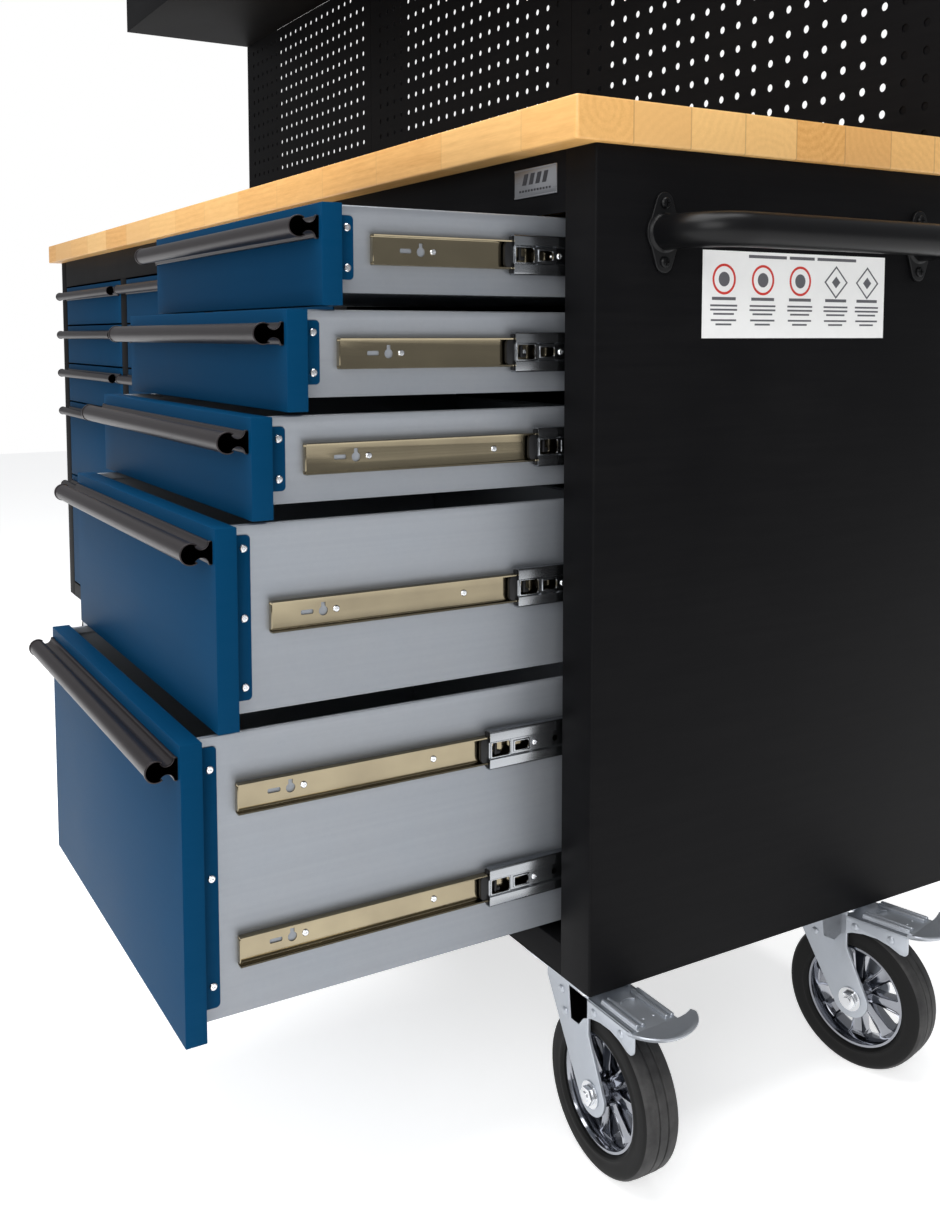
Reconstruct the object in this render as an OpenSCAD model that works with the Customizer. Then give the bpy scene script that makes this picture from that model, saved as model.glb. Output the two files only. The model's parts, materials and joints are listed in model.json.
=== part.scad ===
// Mobile steel workbench: four banks of five drawers under a butcher-block
// worktop, with a pegboard back, overhead cabinets, a push handle and casters.

/* [Cabinet body] */
// Width of the cabinet body, end to end
body_w = 2134; // [1700:1:2600]
// Depth of the cabinet body, front to back
body_d = 497; // [480:1:700]
// Thickness of the body's sheet steel
sheet_t = 1.5; // [1:0.1:3]
// Width of the post face at each end
end_post_w = 47; // [40:1:80]
// Width of the dividers between banks
divider_w = 40; // [24:1:80]
// Height of the rail above the drawers
top_rail_h = 57; // [45:1:90]
// Height of the rail below the drawers
bottom_rail_h = 32.5; // [20:0.5:60]

/* [Worktop] */
// Thickness of the wooden top
top_t = 39; // [25:1:60]
// How far the top stands out at each end
top_over_end = 8.4; // [0:0.2:40]
// How far the top stands out at the front
top_over_front = 27.3; // [5:0.1:60]
// How far the top stands out at the back
top_over_back = 27.3; // [25:0.1:60]
// Radius of the top's upright corners
top_corner_r = 4; // [1:0.5:20]

/* [Drawers] */
// Height of a single-height drawer front
unit_h = 85; // [60:1:110]
// Height of a double-height drawer front
double_h = 170; // [130:1:220]
// Height of a triple-height drawer front
triple_h = 255; // [200:1:320]
// Gap above and below each front
front_gap = 3.4; // [2:0.1:6]
// Gap between a front and the posts beside it
side_gap = 3; // [1.5:0.1:6]
// Depth of a front, face to back edge
front_t = 18.5; // [12:0.5:26]
// Sheet thickness of fronts and drawer boxes
box_t = 1.2; // [0.8:0.1:2]
// Space between a closed drawer box and the body's back
box_back_gap = 42.5; // [20:0.5:120]
// How far the box stops short of the front's lower edge
box_lift = 11; // [6:0.5:20]
// How far the top drawer of the right bank stands open
open_top = 242; // [150:1:300]
// How much further each drawer below it stands open
open_step = 32; // [0:1:32]

/* [Slides] */
// How far the slide members stop short of the box's back end
slide_short = 4.5; // [2:0.5:60]
// Set-back of the closed slide members from the front faces
slide_back = 50; // [40:1:60]
// Height of the cabinet member
slide_outer_h = 45.5; // [44:0.5:50]
// Height of the middle member
slide_mid_h = 36.7; // [35:0.1:38]
// Height of the drawer member
slide_inner_h = 26.8; // [24:0.1:28]
// Room between a drawer box and the front's edge, taken by the slides
slide_room = 13; // [12:0.5:16]
// How far each middle member of the right bank is out, top to bottom
mid_out = [102, 100, 75, 96, 127]; // [0:1:200]

/* [Drawer handles] */
// Height of the handle's back plate
handle_h = 18.4; // [14:0.2:24]
// Distance from the front's top edge to the handle's top
handle_drop = 11; // [4:0.5:20]
// How far the handle stops short of each side of the front
handle_inset = 6; // [2:0.5:30]
// Distance from the front's face to the grip's centre
grip_out = 18; // [14:0.5:30]
// Radius of the grip's round edge
grip_r = 8.6; // [6:0.2:12]

/* [Push handle] */
// Diameter of the push handle's tube
push_d = 32; // [22:1:40]
// Distance of the tube's centre from the end panel
push_out = 70; // [50:1:100]
// Distance between the two flanges
push_span = 345; // [250:1:400]
// Height of the tube above the body's bottom
push_z = 713.5; // [400:0.5:740]

/* [Pegboard] */
// Height from the worktop to the overhead cabinets
peg_h = 517; // [300:1:700]
// Distance of the pegboard's face from the worktop's back edge
peg_back = 53.3; // [50:0.1:120]
// Distance between peg holes
peg_pitch = 30; // [20:1:40]
// Diameter of the peg holes
peg_hole_d = 9.5; // [5:0.5:12]
// Width of each upright behind the pegboard
upright_w = 80; // [40:1:100]
// Depth of each upright behind the pegboard
upright_d = 48; // [20:1:48]

/* [Overhead cabinets] */
// Height of the overhead cabinets
over_h = 350; // [250:1:450]
// Depth of the overhead cabinets
over_d = 303; // [200:1:380]
// Height of the rail below the overhead doors
over_lip_h = 80; // [30:1:120]

/* [Casters] */
// Height of the casters, floor to mounting face
caster_h = 194; // [192:1:215]
// Diameter of the wheels
wheel_d = 160; // [120:1:164]
// Width of the tyres
tyre_w = 42; // [30:1:46]
// Sideways distance from swivel axis to wheel axle
trail = 42; // [25:1:50]
// Distance of each swivel axis from the body's end
caster_in_x = 65; // [60:1:120]
// Distance of the front swivel axes from the front faces
caster_front_y = 46; // [45:1:90]
// Distance of the rear swivel axes from the body's back
caster_back_y = 112; // [80:1:160]
// How far the rear swivel caster is turned
rear_turn = 14; // [-40:1:40]

/* [Hidden] */

BANKS = 4;
ROWS = 5;
CLOSED_BANKS = BANKS - 1;
MODULES = 3;
row_h = [unit_h, unit_h, unit_h, double_h, triple_h];
tab_inset = [10, 10, 10, 11, 19];

black = [0.03, 0.03, 0.035];
blue = [0.02, 0.17, 0.30];
zinc = [0.72, 0.74, 0.76];
gold_zinc = [0.66, 0.60, 0.42];
bronze = [0.10, 0.09, 0.09];
wood = [0.85, 0.63, 0.36];
rubber = [0.05, 0.05, 0.05];
chrome = [0.80, 0.80, 0.82];

eps = 0.01;
running = 0.05;
// Hairline seam between sheets that are made apart and fastened together
seam = 0.02;

// Total height of the body, from the drawers it holds
function stack_h(from) = from >= ROWS ? 0 : row_h[from] + front_gap + stack_h(from + 1);
body_h = bottom_rail_h + front_gap + stack_h(0) + top_rail_h;
top_z = body_h + top_t;
bank_w = (body_w - 2 * end_post_w - (BANKS - 1) * divider_w) / BANKS;
front_w = bank_w - 2 * side_gap;
function bank_x(b) = end_post_w + b * (bank_w + divider_w);
function front_z(r) = bottom_rail_h + front_gap + stack_h(r + 1);
box_l = body_d - front_t - box_back_gap;
slide_l = front_t + box_l - slide_back - slide_short;
function open_y(r) = open_top + open_step * r;
function box_h(r) = row_h[r] - box_lift;

// The slides' places across the gap between a drawer box and its wall
slide_gap = slide_room + side_gap - seam;
slide_t = 1.2;
inner_depth = 8.5;
mid_face = 9.5;
mid_depth = 8.2;
outer_depth = 11;
double_slide_inset = 56;
function slide_heights(r) = r == ROWS - 1
    ? [front_z(r) + box_lift + double_slide_inset, front_z(r) + row_h[r] - double_slide_inset]
    : [front_z(r) + box_lift + box_h(r) / 2];

// Handle, tab and trim sizes
handle_plate_t = 3.3;
handle_web_t = 6;
handle_cap_t = 3;
handle_cap_grow = 0.8;
tab_back = 34;
tab_screw_y = 28;
tab_below = 22;
tab_above = 9;
pan_r = 3.3;
pan_h = 1.6;
hem_w = 3.5;
hem_h = 7;
box_back_drop = 12;
plate_w = 72.5;
plate_h = 27.5;
plate_t = 1.2;
plate_from_end = 60;
plate_z = body_h - 24.6;

// Push handle flanges
flange_t = 4;
flange_r = 20;
lobe_r = 10;
lobe_out = 27;
push_bend = 46;

// Pegboard grid
module_w = body_w / MODULES;
peg_edge_x = 36.5;
peg_first_z = 11.3;
peg_t = 1.5;
peg_cols = floor((module_w - 2 * peg_hole_d - peg_edge_x) / peg_pitch) + 1;
peg_rows = floor((peg_h - peg_first_z - peg_hole_d) / peg_pitch) + 1;
joint_gap = 1;

// Overhead cabinets
over_z = top_z + peg_h;
peg_y = body_d + top_over_back - peg_back;
over_y = peg_y - over_d;
over_top_h = 20;
door_gap = 2;
door_h = over_h - over_lip_h - over_top_h - 2 * door_gap;
door_w = module_w - 2 * (sheet_t + door_gap) - joint_gap;

// Caster sizes
plate_size = [104, 84, 5];
race_r = 34;
race_h = 9;
crown_r = 34;
crown_t = 4;
leg_t = 4;
leg_boss_r = 20;
axle_r = 5;
hub_w = tyre_w + 2;
leg_gap = hub_w + 1;
axle_z = -(caster_h - wheel_d / 2);
crown_z = -(plate_size[2] + race_h + crown_t + 1);
tyre_deep = 23;
rim_r = wheel_d / 2 - tyre_deep;
rim_band_t = 7;
rim_w = 34;
spoke_w = 11;
spoke_t = 12;
spokes = 8;
hub_r = 15;
hex_r = 9.8;
hex_t = 6.4;
cheek_t = 3;
cheek_x = 107;
cheek_low = 31;
cheek_end = 20;
cover_z = crown_z - 4;
pedal_x = 52;
pedal_reach = 145;
pedal_w = 46;
pedal_t = 3;
pedal_rise = 0.6;
lip_w = 76;
lip_r = 42;
lip_h = 9;
lip_t = 3;

// The whole model's frame: the origin is the centre of its footprint, on the floor
x_low = -top_over_end;
x_high = body_w + push_out + push_d / 2;
y_low = -open_y(ROWS - 1) - grip_out - grip_r - handle_cap_grow;
y_high = body_d + top_over_back;
module placed() {
    translate([-(x_low + x_high) / 2, -(y_low + y_high) / 2, caster_h]) children();
}

// Draws its children at both ends of the body, mirrored
module both_ends() {
    children();
    translate([body_w, 0, 0]) mirror([1, 0, 0]) children();
}

// ---- Cabinet body ----

// Folded end panels: outer skin, post face and flanges
module side_panels() {
    color(black) both_ends() {
        cube([sheet_t, body_d, body_h]);
        translate([sheet_t + seam, 0, 0]) cube([end_post_w - sheet_t - seam, sheet_t, body_h]);
        for (z = [0, body_h - sheet_t]) translate([sheet_t + seam, sheet_t + seam, z])
            cube([end_post_w - sheet_t - seam, body_d - 2 * (sheet_t + seam), sheet_t]);
    }
}

// Floor of the body, with the rail below the drawers folded up from it
module base_pan() {
    pan_l = body_w - 2 * end_post_w;
    color(black) translate([end_post_w, 0, 0]) {
        cube([pan_l, body_d - sheet_t, sheet_t]);
        translate([0, 0, sheet_t + seam]) cube([pan_l, sheet_t, bottom_rail_h - sheet_t - seam]);
        translate([0, sheet_t + seam, bottom_rail_h - sheet_t])
            cube([pan_l, front_t - sheet_t - seam, sheet_t]);
    }
}

module back_panel() {
    color(black) translate([sheet_t, body_d - sheet_t, 0])
        cube([body_w - 2 * sheet_t, sheet_t, body_h]);
}

// Top rails, end linings and the hollow dividers that carry the slides
module drawer_frame() {
    rail_l = body_w - 2 * (end_post_w + seam);
    divider_h = body_h - top_rail_h - bottom_rail_h - 2 * seam;
    color(black) {
        translate([end_post_w + seam, 0, body_h - top_rail_h]) {
            cube([rail_l, sheet_t, top_rail_h]);
            translate([0, sheet_t + seam, top_rail_h - sheet_t])
                cube([rail_l, 2 * end_post_w, sheet_t]);
        }
        translate([end_post_w + seam, body_d - 2 * end_post_w, body_h - sheet_t])
            cube([rail_l, 2 * end_post_w - sheet_t, sheet_t]);
        both_ends() translate([end_post_w - sheet_t, sheet_t, sheet_t])
            cube([sheet_t, body_d - 2 * sheet_t, body_h - 2 * sheet_t]);
        for (b = [1:BANKS - 1])
            translate([bank_x(b) - divider_w, 0, bottom_rail_h + seam]) {
                cube([divider_w, sheet_t, divider_h]);
                for (x = [0, divider_w - sheet_t]) translate([x, sheet_t + seam, 0])
                    cube([sheet_t, body_d - 2 * (sheet_t + seam), divider_h]);
            }
    }
}

module nameplate() {
    color(chrome) translate([body_w - plate_from_end - plate_w, -plate_t, plate_z - plate_h / 2])
        cube([plate_w, plate_t, plate_h]);
}

// Worktop slab with rounded upright corners
module worktop() {
    w = body_w + 2 * top_over_end;
    d = body_d + top_over_front + top_over_back;
    color(wood) translate([-top_over_end, -top_over_front, body_h]) linear_extrude(top_t) {
        translate([top_corner_r, 0]) square([w - 2 * top_corner_r, d]);
        translate([0, top_corner_r]) square([w, d - 2 * top_corner_r]);
        for (x = [top_corner_r, w - top_corner_r], y = [top_corner_r, d - top_corner_r])
            translate([x, y]) circle(r = top_corner_r, $fn = 32);
    }
}

// Bent tube between two lobed flanges on the right end panel
module push_handle() {
    y0 = (body_d - push_span) / 2;
    color(black) translate([body_w, y0, push_z]) {
        push_half();
        translate([0, push_span, 0]) mirror([0, 1, 0]) push_half();
    }
}

// One flange, its bend and half of the straight tube
module push_half() {
    rotate([0, 90, 0]) linear_extrude(flange_t) {
        circle(r = flange_r, $fn = 48);
        for (s = [-1, 1]) translate([s * lobe_out, 0]) circle(r = lobe_r, $fn = 32);
        square([2 * lobe_out, lobe_r * 1.6], center = true);
    }
    rotate([0, 90, 0]) cylinder(d = push_d, h = push_out - push_bend, $fn = 48);
    translate([push_out - push_bend, push_bend, 0]) rotate([0, 0, -90])
        rotate_extrude(angle = 90, $fn = 96) translate([push_bend, 0]) circle(d = push_d, $fn = 48);
    translate([push_out, push_bend, 0]) rotate([-90, 0, 0])
        cylinder(d = push_d, h = push_span / 2 - push_bend, $fn = 48);
    for (s = [-1, 1]) translate([flange_t, 0, s * lobe_out]) rotate([0, 90, 0])
        cylinder(r = pan_r * 1.4, h = 3, $fn = 32);
}

// ---- Drawers ----

// Hollow front of five sheets, open at the back: face and four returns
module front_shell(w, h) {
    edge = box_t + seam;
    cube([w, box_t, h]);
    for (x = [0, w - box_t]) translate([x, edge, 0]) cube([box_t, front_t - edge, h]);
    for (z = [0, h - box_t]) translate([edge, edge, z]) cube([w - 2 * edge, front_t - edge, box_t]);
}

// Flanges behind the front and the tabs that lap the box's sides, with pan-head screws
module front_tabs(r) {
    tab_h = row_h[r] - tab_below - tab_above;
    count = r < 3 ? 2 : 3;
    for (side = [0, 1]) translate([side * front_w, 0, 0]) mirror([side, 0, 0])
        translate([slide_room - box_t, front_t, tab_below]) {
            cube([box_t, tab_back - front_t, tab_h]);
            translate([2 * box_t + seam - slide_room, -seam - box_t, 0])
                cube([slide_room - box_t - seam, box_t, tab_h]);
            for (i = [0:count - 1])
                translate([-seam, tab_screw_y - front_t,
                           tab_inset[r] + i * (tab_h - 2 * tab_inset[r]) / (count - 1)])
                    rotate([0, -90, 0]) cylinder(r1 = pan_r, r2 = pan_r * 0.7, h = pan_h, $fn = 24);
        }
}

// Box of separate sheets: two hemmed sides, bottom, back and inner front
module box_sheets(r) {
    h = box_h(r);
    inner_w = front_w - 2 * (slide_room + box_t + seam);
    wall_z = box_t + seam;
    for (side = [0, 1]) translate([side * front_w, 0, 0]) mirror([side, 0, 0])
        translate([slide_room, front_t + seam, box_lift]) {
            cube([box_t, box_l, h]);
            translate([box_t - eps, 0, h - hem_h]) cube([hem_w, box_l, hem_h]);
        }
    translate([slide_room + box_t + seam, front_t + seam, box_lift]) {
        cube([inner_w, box_l, box_t]);
        translate([hem_w, box_l - box_t, wall_z])
            cube([inner_w - 2 * hem_w, box_t, h - wall_z - box_back_drop]);
        translate([hem_w, 0, wall_z]) cube([inner_w - 2 * hem_w, box_t, h - wall_z - hem_h]);
    }
}

// Outline of the handle: back plate, grooved web and round grip
module handle_outline(grow = 0) {
    groove_r = (handle_h - handle_web_t) / 2;
    difference() {
        translate([-grip_out, -handle_h / 2 - grow]) square([grip_out, handle_h + 2 * grow]);
        if (grow == 0) for (s = [-1, 1])
            translate([-handle_plate_t - groove_r, s * (handle_web_t / 2 + groove_r)])
                circle(r = groove_r, $fn = 32);
        translate([-grip_out - 1, -handle_h]) square([1 + grip_out - grip_r, 2 * handle_h]);
    }
    translate([-grip_out, 0]) circle(r = grip_r + grow, $fn = 48);
}

// Full-width pull with a cap at each end
module handle_bar(r) {
    w = front_w - 2 * handle_inset;
    translate([handle_inset, -seam, row_h[r] - handle_drop - handle_h / 2]) rotate([90, 0, 90]) {
        linear_extrude(w) handle_outline();
        for (x = [0, w - handle_cap_t])
            translate([0, 0, x]) linear_extrude(handle_cap_t) handle_outline(handle_cap_grow);
    }
}

// One channel of a slide, its web at x = face, lips towards -x or +x
module channel(face, depth, h, toward) {
    x0 = toward > 0 ? face : face - slide_t;
    lip_w = depth - slide_t - seam;
    lip_x = toward > 0 ? face + slide_t + seam : face - depth;
    translate([x0, 0, -h / 2]) cube([slide_t, slide_l, h]);
    for (z = [-h / 2, h / 2 - slide_t]) translate([lip_x, 0, z]) cube([lip_w, slide_l, slide_t]);
}

// Places a slide channel on both sides of drawer row r, x counted outwards from the box
module on_slides(r) {
    for (z = slide_heights(r), side = [0, 1])
        translate([side * front_w, 0, z - front_z(r)]) mirror([side, 0, 0])
            translate([slide_room - seam, slide_back, 0]) mirror([1, 0, 0]) children();
}

module inner_slides(r) { on_slides(r) channel(0, inner_depth, slide_inner_h, 1); }
module middle_slides(r) { on_slides(r) channel(mid_face + slide_t, mid_depth, slide_mid_h, -1); }
module outer_slides(r) { on_slides(r) channel(slide_gap, outer_depth, slide_outer_h, -1); }

// Puts a drawer's pieces at its bank and row, pulled out by some distance
module in_bank(b, r, out = 0) {
    translate([bank_x(b) + side_gap, -out, front_z(r)]) children();
}

module drawer_box(r) {
    in_bank(BANKS - 1, r, open_y(r)) {
        color(zinc) box_sheets(r);
        color(gold_zinc) inner_slides(r);
    }
}

module drawer_front(r) {
    color(blue) in_bank(BANKS - 1, r, open_y(r)) {
        front_shell(front_w, row_h[r]);
        front_tabs(r);
    }
}

module drawer_handle(r) {
    color(bronze) in_bank(BANKS - 1, r, open_y(r)) handle_bar(r);
}

module slide_middle(r) {
    color(zinc) in_bank(BANKS - 1, r, mid_out[r]) middle_slides(r);
}

// A whole closed drawer: front, box, pull and drawer members of its slides
module closed_drawer(b, r) {
    in_bank(b, r) {
        color(blue) front_shell(front_w, row_h[r]);
        color(bronze) handle_bar(r);
        color(zinc) box_sheets(r);
        color(gold_zinc) inner_slides(r);
    }
}

// Cabinet members of every slide
module cabinet_slides() {
    color(zinc) for (b = [0:BANKS - 1], r = [0:ROWS - 1]) in_bank(b, r) outer_slides(r);
}

// ---- Pegboard and overhead cabinets ----

// Perforated sheets, one for each module
module pegboard_panels() {
    color(black) for (m = [0:MODULES - 1])
        translate([m * module_w, peg_y, top_z]) mirror([0, 1, 0]) rotate([90, 0, 0])
            linear_extrude(peg_t) difference() {
                translate([joint_gap / 2, 0]) square([module_w - joint_gap, peg_h]);
                for (c = [0:peg_cols - 1], n = [0:peg_rows - 1])
                    translate([module_w - peg_edge_x - c * peg_pitch, peg_first_z + n * peg_pitch])
                        circle(d = peg_hole_d, $fn = 24);
            }
}

// Uprights from the worktop to the top of the overhead cabinets
module pegboard_uprights() {
    color(black) for (m = [0:MODULES])
        translate([m * (body_w - upright_w) / MODULES, peg_y + peg_t, top_z])
            cube([upright_w, upright_d, peg_h + over_h]);
}

// Overhead cases of separate sheets: floor, roof, back, ends and the rails round the door
module overhead_cases() {
    w = module_w - joint_gap;
    inner = w - 2 * (sheet_t + seam);
    color(black) for (m = [0:MODULES - 1])
        translate([m * module_w + joint_gap / 2, over_y, over_z]) {
            for (x = [0, w - sheet_t]) translate([x, 0, 0]) cube([sheet_t, over_d, over_h]);
            for (z = [0, over_h - sheet_t])
                translate([sheet_t + seam, 0, z]) cube([inner, over_d, sheet_t]);
            translate([sheet_t + seam, over_d - sheet_t, sheet_t + seam])
                cube([inner, sheet_t, over_h - 2 * (sheet_t + seam)]);
            for (rail = [[sheet_t + seam, over_lip_h], [over_h - over_top_h, over_h - sheet_t - seam]])
                translate([sheet_t + seam, 0, rail[0]]) cube([inner, sheet_t, rail[1] - rail[0]]);
        }
}

// Flip-up door with a pull along its lower edge
module overhead_door(m) {
    x0 = m * module_w + joint_gap / 2 + sheet_t + door_gap;
    color(blue) translate([x0, over_y, over_z + over_lip_h + door_gap]) {
        front_shell(door_w, door_h);
        translate([handle_inset, -seam, handle_drop + handle_h / 2]) rotate([90, 0, 90])
            linear_extrude(door_w - 2 * handle_inset) handle_outline();
    }
}

// ---- Casters: x is the trailing direction, z = 0 the mounting face ----

module at_caster(right, rear) {
    x = right ? body_w - caster_in_x : caster_in_x;
    translate([x, rear ? body_d - caster_back_y : caster_front_y, 0])
        rotate([0, 0, right && rear ? rear_turn : 0]) children();
}

module top_plate() {
    translate([-plate_size[0] / 2, -plate_size[1] / 2, -plate_size[2]]) cube(plate_size);
}

// Side plate of a fork, from its crown to the axle boss
module fork_leg(lean) {
    rotate([90, 0, 0]) linear_extrude(leg_t, center = true) {
        polygon([[-crown_r, crown_z], [crown_r, crown_z],
                 [lean + leg_boss_r, axle_z], [lean - leg_boss_r, axle_z]]);
        translate([lean, axle_z]) circle(r = leg_boss_r, $fn = 48);
    }
}

// Two legs under a crown, with the axle bolt through them
module fork(lean) {
    leg_y = (leg_gap + leg_t) / 2;
    for (s = [-1, 1]) translate([0, s * leg_y, 0]) fork_leg(lean);
    translate([-crown_r, -leg_y - leg_t / 2, crown_z]) cube([2 * crown_r, 2 * leg_y + leg_t, crown_t]);
    translate([lean, 0, axle_z]) rotate([90, 0, 0]) {
        cylinder(r = axle_r, h = 2 * leg_y, center = true, $fn = 32);
        for (s = [-1, 1]) translate([0, 0, s * (leg_y + leg_t / 2 + hex_t / 2)])
            cylinder(r = hex_r, h = hex_t, center = true, $fn = 6);
    }
}

// Brake cover: a roof and two cheeks riveted to the fork
module brake_cover() {
    y_out = leg_gap / 2 + leg_t;
    translate([crown_r - 8, -y_out, cover_z]) cube([cheek_x - crown_r + 8, 2 * y_out, cheek_t]);
    for (s = [-1, 1]) translate([0, s * (y_out - cheek_t / 2), 0]) rotate([90, 0, 0])
        linear_extrude(cheek_t, center = true)
            polygon([[0, cover_z + cheek_t], [cheek_x, cover_z + cheek_t],
                     [cheek_x, cover_z - cheek_end + 4], [cheek_x - 3, cover_z - cheek_end],
                     [cheek_x - 8, cover_z - cheek_end], [cheek_x - 40, cover_z - cheek_end / 2],
                     [trail, cover_z - cheek_low / 2], [20, cover_z - cheek_low]]);
}

module swivel_fork(rear) {
    color(zinc) at_caster(true, rear) {
        fork(trail);
        brake_cover();
        translate([0, 0, crown_z + crown_t - eps]) cylinder(r = race_r - 6, h = 1, $fn = 64);
    }
}

// Ribbed pedal on the cover, ending in a curved lip
module brake_pedal(rear) {
    z0 = cover_z + cheek_t + pedal_rise;
    color(zinc) at_caster(true, rear) {
        translate([pedal_x, -pedal_w / 2, z0]) cube([cheek_x - pedal_x + 8, pedal_w, pedal_t]);
        for (s = [-1, 1]) translate([pedal_x, s * (pedal_w / 2 - 4) - 2, z0])
            cube([cheek_x - pedal_x, 4, pedal_t + 3]);
        translate([pedal_reach - lip_r, 0, z0]) linear_extrude(lip_t) intersection() {
            circle(r = lip_r, $fn = 64);
            translate([lip_r - 32, -lip_w / 2]) square([32, lip_w]);
        }
        translate([pedal_reach - lip_r, 0, z0]) difference() {
            cylinder(r = lip_r, h = lip_h, $fn = 64);
            translate([0, 0, -1]) cylinder(r = lip_r - lip_t, h = lip_h + 2, $fn = 64);
            translate([-lip_r - 1, -lip_r - 1, -1])
                cube([2 * lip_r - 16, 2 * lip_r + 2, lip_h + 2]);
        }
    }
}

module wheel_place(right, rear) {
    at_caster(right, rear) translate([right ? trail : 0, 0, axle_z]) rotate([90, 0, 0]) children();
}

// Tyre with rounded shoulders
module tyre_solid() {
    r = wheel_d / 2;
    shoulder = 9;
    rotate_extrude($fn = 128) {
        translate([rim_r, -tyre_w / 2 + shoulder]) square([r - rim_r, tyre_w - 2 * shoulder]);
        translate([rim_r, -tyre_w / 2]) square([r - rim_r - shoulder, tyre_w]);
        for (s = [-1, 1]) translate([r - shoulder, s * (tyre_w / 2 - shoulder)])
            circle(r = shoulder, $fn = 32);
    }
}

// Spoked rim with a bored hub
module rim_solid() {
    difference() {
        union() {
            difference() {
                cylinder(r = rim_r, h = rim_w, center = true, $fn = 96);
                cylinder(r = rim_r - rim_band_t, h = rim_w + 2, center = true, $fn = 96);
            }
            for (i = [0:spokes - 1]) rotate(i * 360 / spokes)
                translate([0, -spoke_w / 2, -spoke_t / 2]) cube([rim_r - rim_band_t / 2, spoke_w, spoke_t]);
            cylinder(r = hub_r, h = hub_w, center = true, $fn = 48);
        }
        cylinder(r = axle_r + running, h = hub_w + 2, center = true, $fn = 32);
    }
}

module tyre(rear) { color(rubber) wheel_place(true, rear) tyre_solid(); }
module rim(rear) { color(chrome) wheel_place(true, rear) rim_solid(); }

module fixed_wheel(rear) {
    color(rubber) wheel_place(false, rear) tyre_solid();
    color(chrome) wheel_place(false, rear) rim_solid();
}

// Plates of all four casters, with the races of the swivel ones and the fixed forks
module caster_plates() {
    color(zinc) for (rear = [false, true]) {
        at_caster(true, rear) {
            top_plate();
            translate([0, 0, -plate_size[2] - race_h]) cylinder(r = race_r, h = race_h + eps, $fn = 64);
        }
        at_caster(false, rear) {
            top_plate();
            fork(0);
            translate([-crown_r, -crown_r, crown_z]) cube([2 * crown_r, 2 * crown_r, -crown_z - eps]);
        }
    }
}

placed() side_panels();
placed() base_pan();
placed() back_panel();
placed() drawer_frame();
placed() cabinet_slides();
placed() worktop();
placed() push_handle();
placed() nameplate();
placed() pegboard_panels();
placed() pegboard_uprights();
placed() overhead_cases();
placed() caster_plates();
for (m = [1:MODULES])
    placed() overhead_door(m - 1);
for (rear = [false, true]) {
    end = rear ? "rear" : "front";
    placed() swivel_fork(rear);
    placed() brake_pedal(rear);
    placed() tyre(rear);
    placed() rim(rear);
    placed() fixed_wheel(rear);
}
for (r = [1:ROWS]) {
    placed() drawer_box(r - 1);
    placed() drawer_front(r - 1);
    placed() drawer_handle(r - 1);
    placed() slide_middle(r - 1);
    for (b = [1:CLOSED_BANKS])
        placed() closed_drawer(b - 1, r - 1);
}
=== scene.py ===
import json
import logging
import math
from contextlib import contextmanager
from dataclasses import dataclass, field
from enum import Enum
from typing import Callable, Iterator, Sequence

import bpy
from mathutils import Matrix, Vector


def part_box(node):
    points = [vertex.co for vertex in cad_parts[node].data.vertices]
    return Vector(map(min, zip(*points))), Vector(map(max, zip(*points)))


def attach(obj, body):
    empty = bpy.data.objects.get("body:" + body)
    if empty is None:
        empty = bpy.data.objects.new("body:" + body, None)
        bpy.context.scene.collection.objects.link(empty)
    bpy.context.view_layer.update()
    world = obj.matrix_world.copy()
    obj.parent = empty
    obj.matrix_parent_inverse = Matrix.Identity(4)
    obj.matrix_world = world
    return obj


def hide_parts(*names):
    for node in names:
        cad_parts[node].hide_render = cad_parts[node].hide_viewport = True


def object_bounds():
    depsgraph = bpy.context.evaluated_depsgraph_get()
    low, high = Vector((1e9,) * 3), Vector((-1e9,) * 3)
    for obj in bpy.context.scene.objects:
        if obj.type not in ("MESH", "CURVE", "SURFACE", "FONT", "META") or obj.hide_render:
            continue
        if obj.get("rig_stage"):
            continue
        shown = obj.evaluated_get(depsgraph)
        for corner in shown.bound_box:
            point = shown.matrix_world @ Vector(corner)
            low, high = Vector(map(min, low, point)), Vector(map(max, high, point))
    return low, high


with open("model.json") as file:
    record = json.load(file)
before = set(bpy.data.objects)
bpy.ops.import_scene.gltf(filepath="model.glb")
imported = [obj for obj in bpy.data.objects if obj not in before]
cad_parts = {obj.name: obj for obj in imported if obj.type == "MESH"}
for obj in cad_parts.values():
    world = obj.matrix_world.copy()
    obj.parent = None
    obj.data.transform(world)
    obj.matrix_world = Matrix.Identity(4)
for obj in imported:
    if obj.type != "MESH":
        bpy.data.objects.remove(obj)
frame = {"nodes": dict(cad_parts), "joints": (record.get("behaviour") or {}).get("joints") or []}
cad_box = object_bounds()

log = logging.getLogger("workbench")

MM = 0.001
Point = tuple[float, float]
Mesh = bpy.types.Object


# ---------------------------------------------------------------- shader maths


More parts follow.
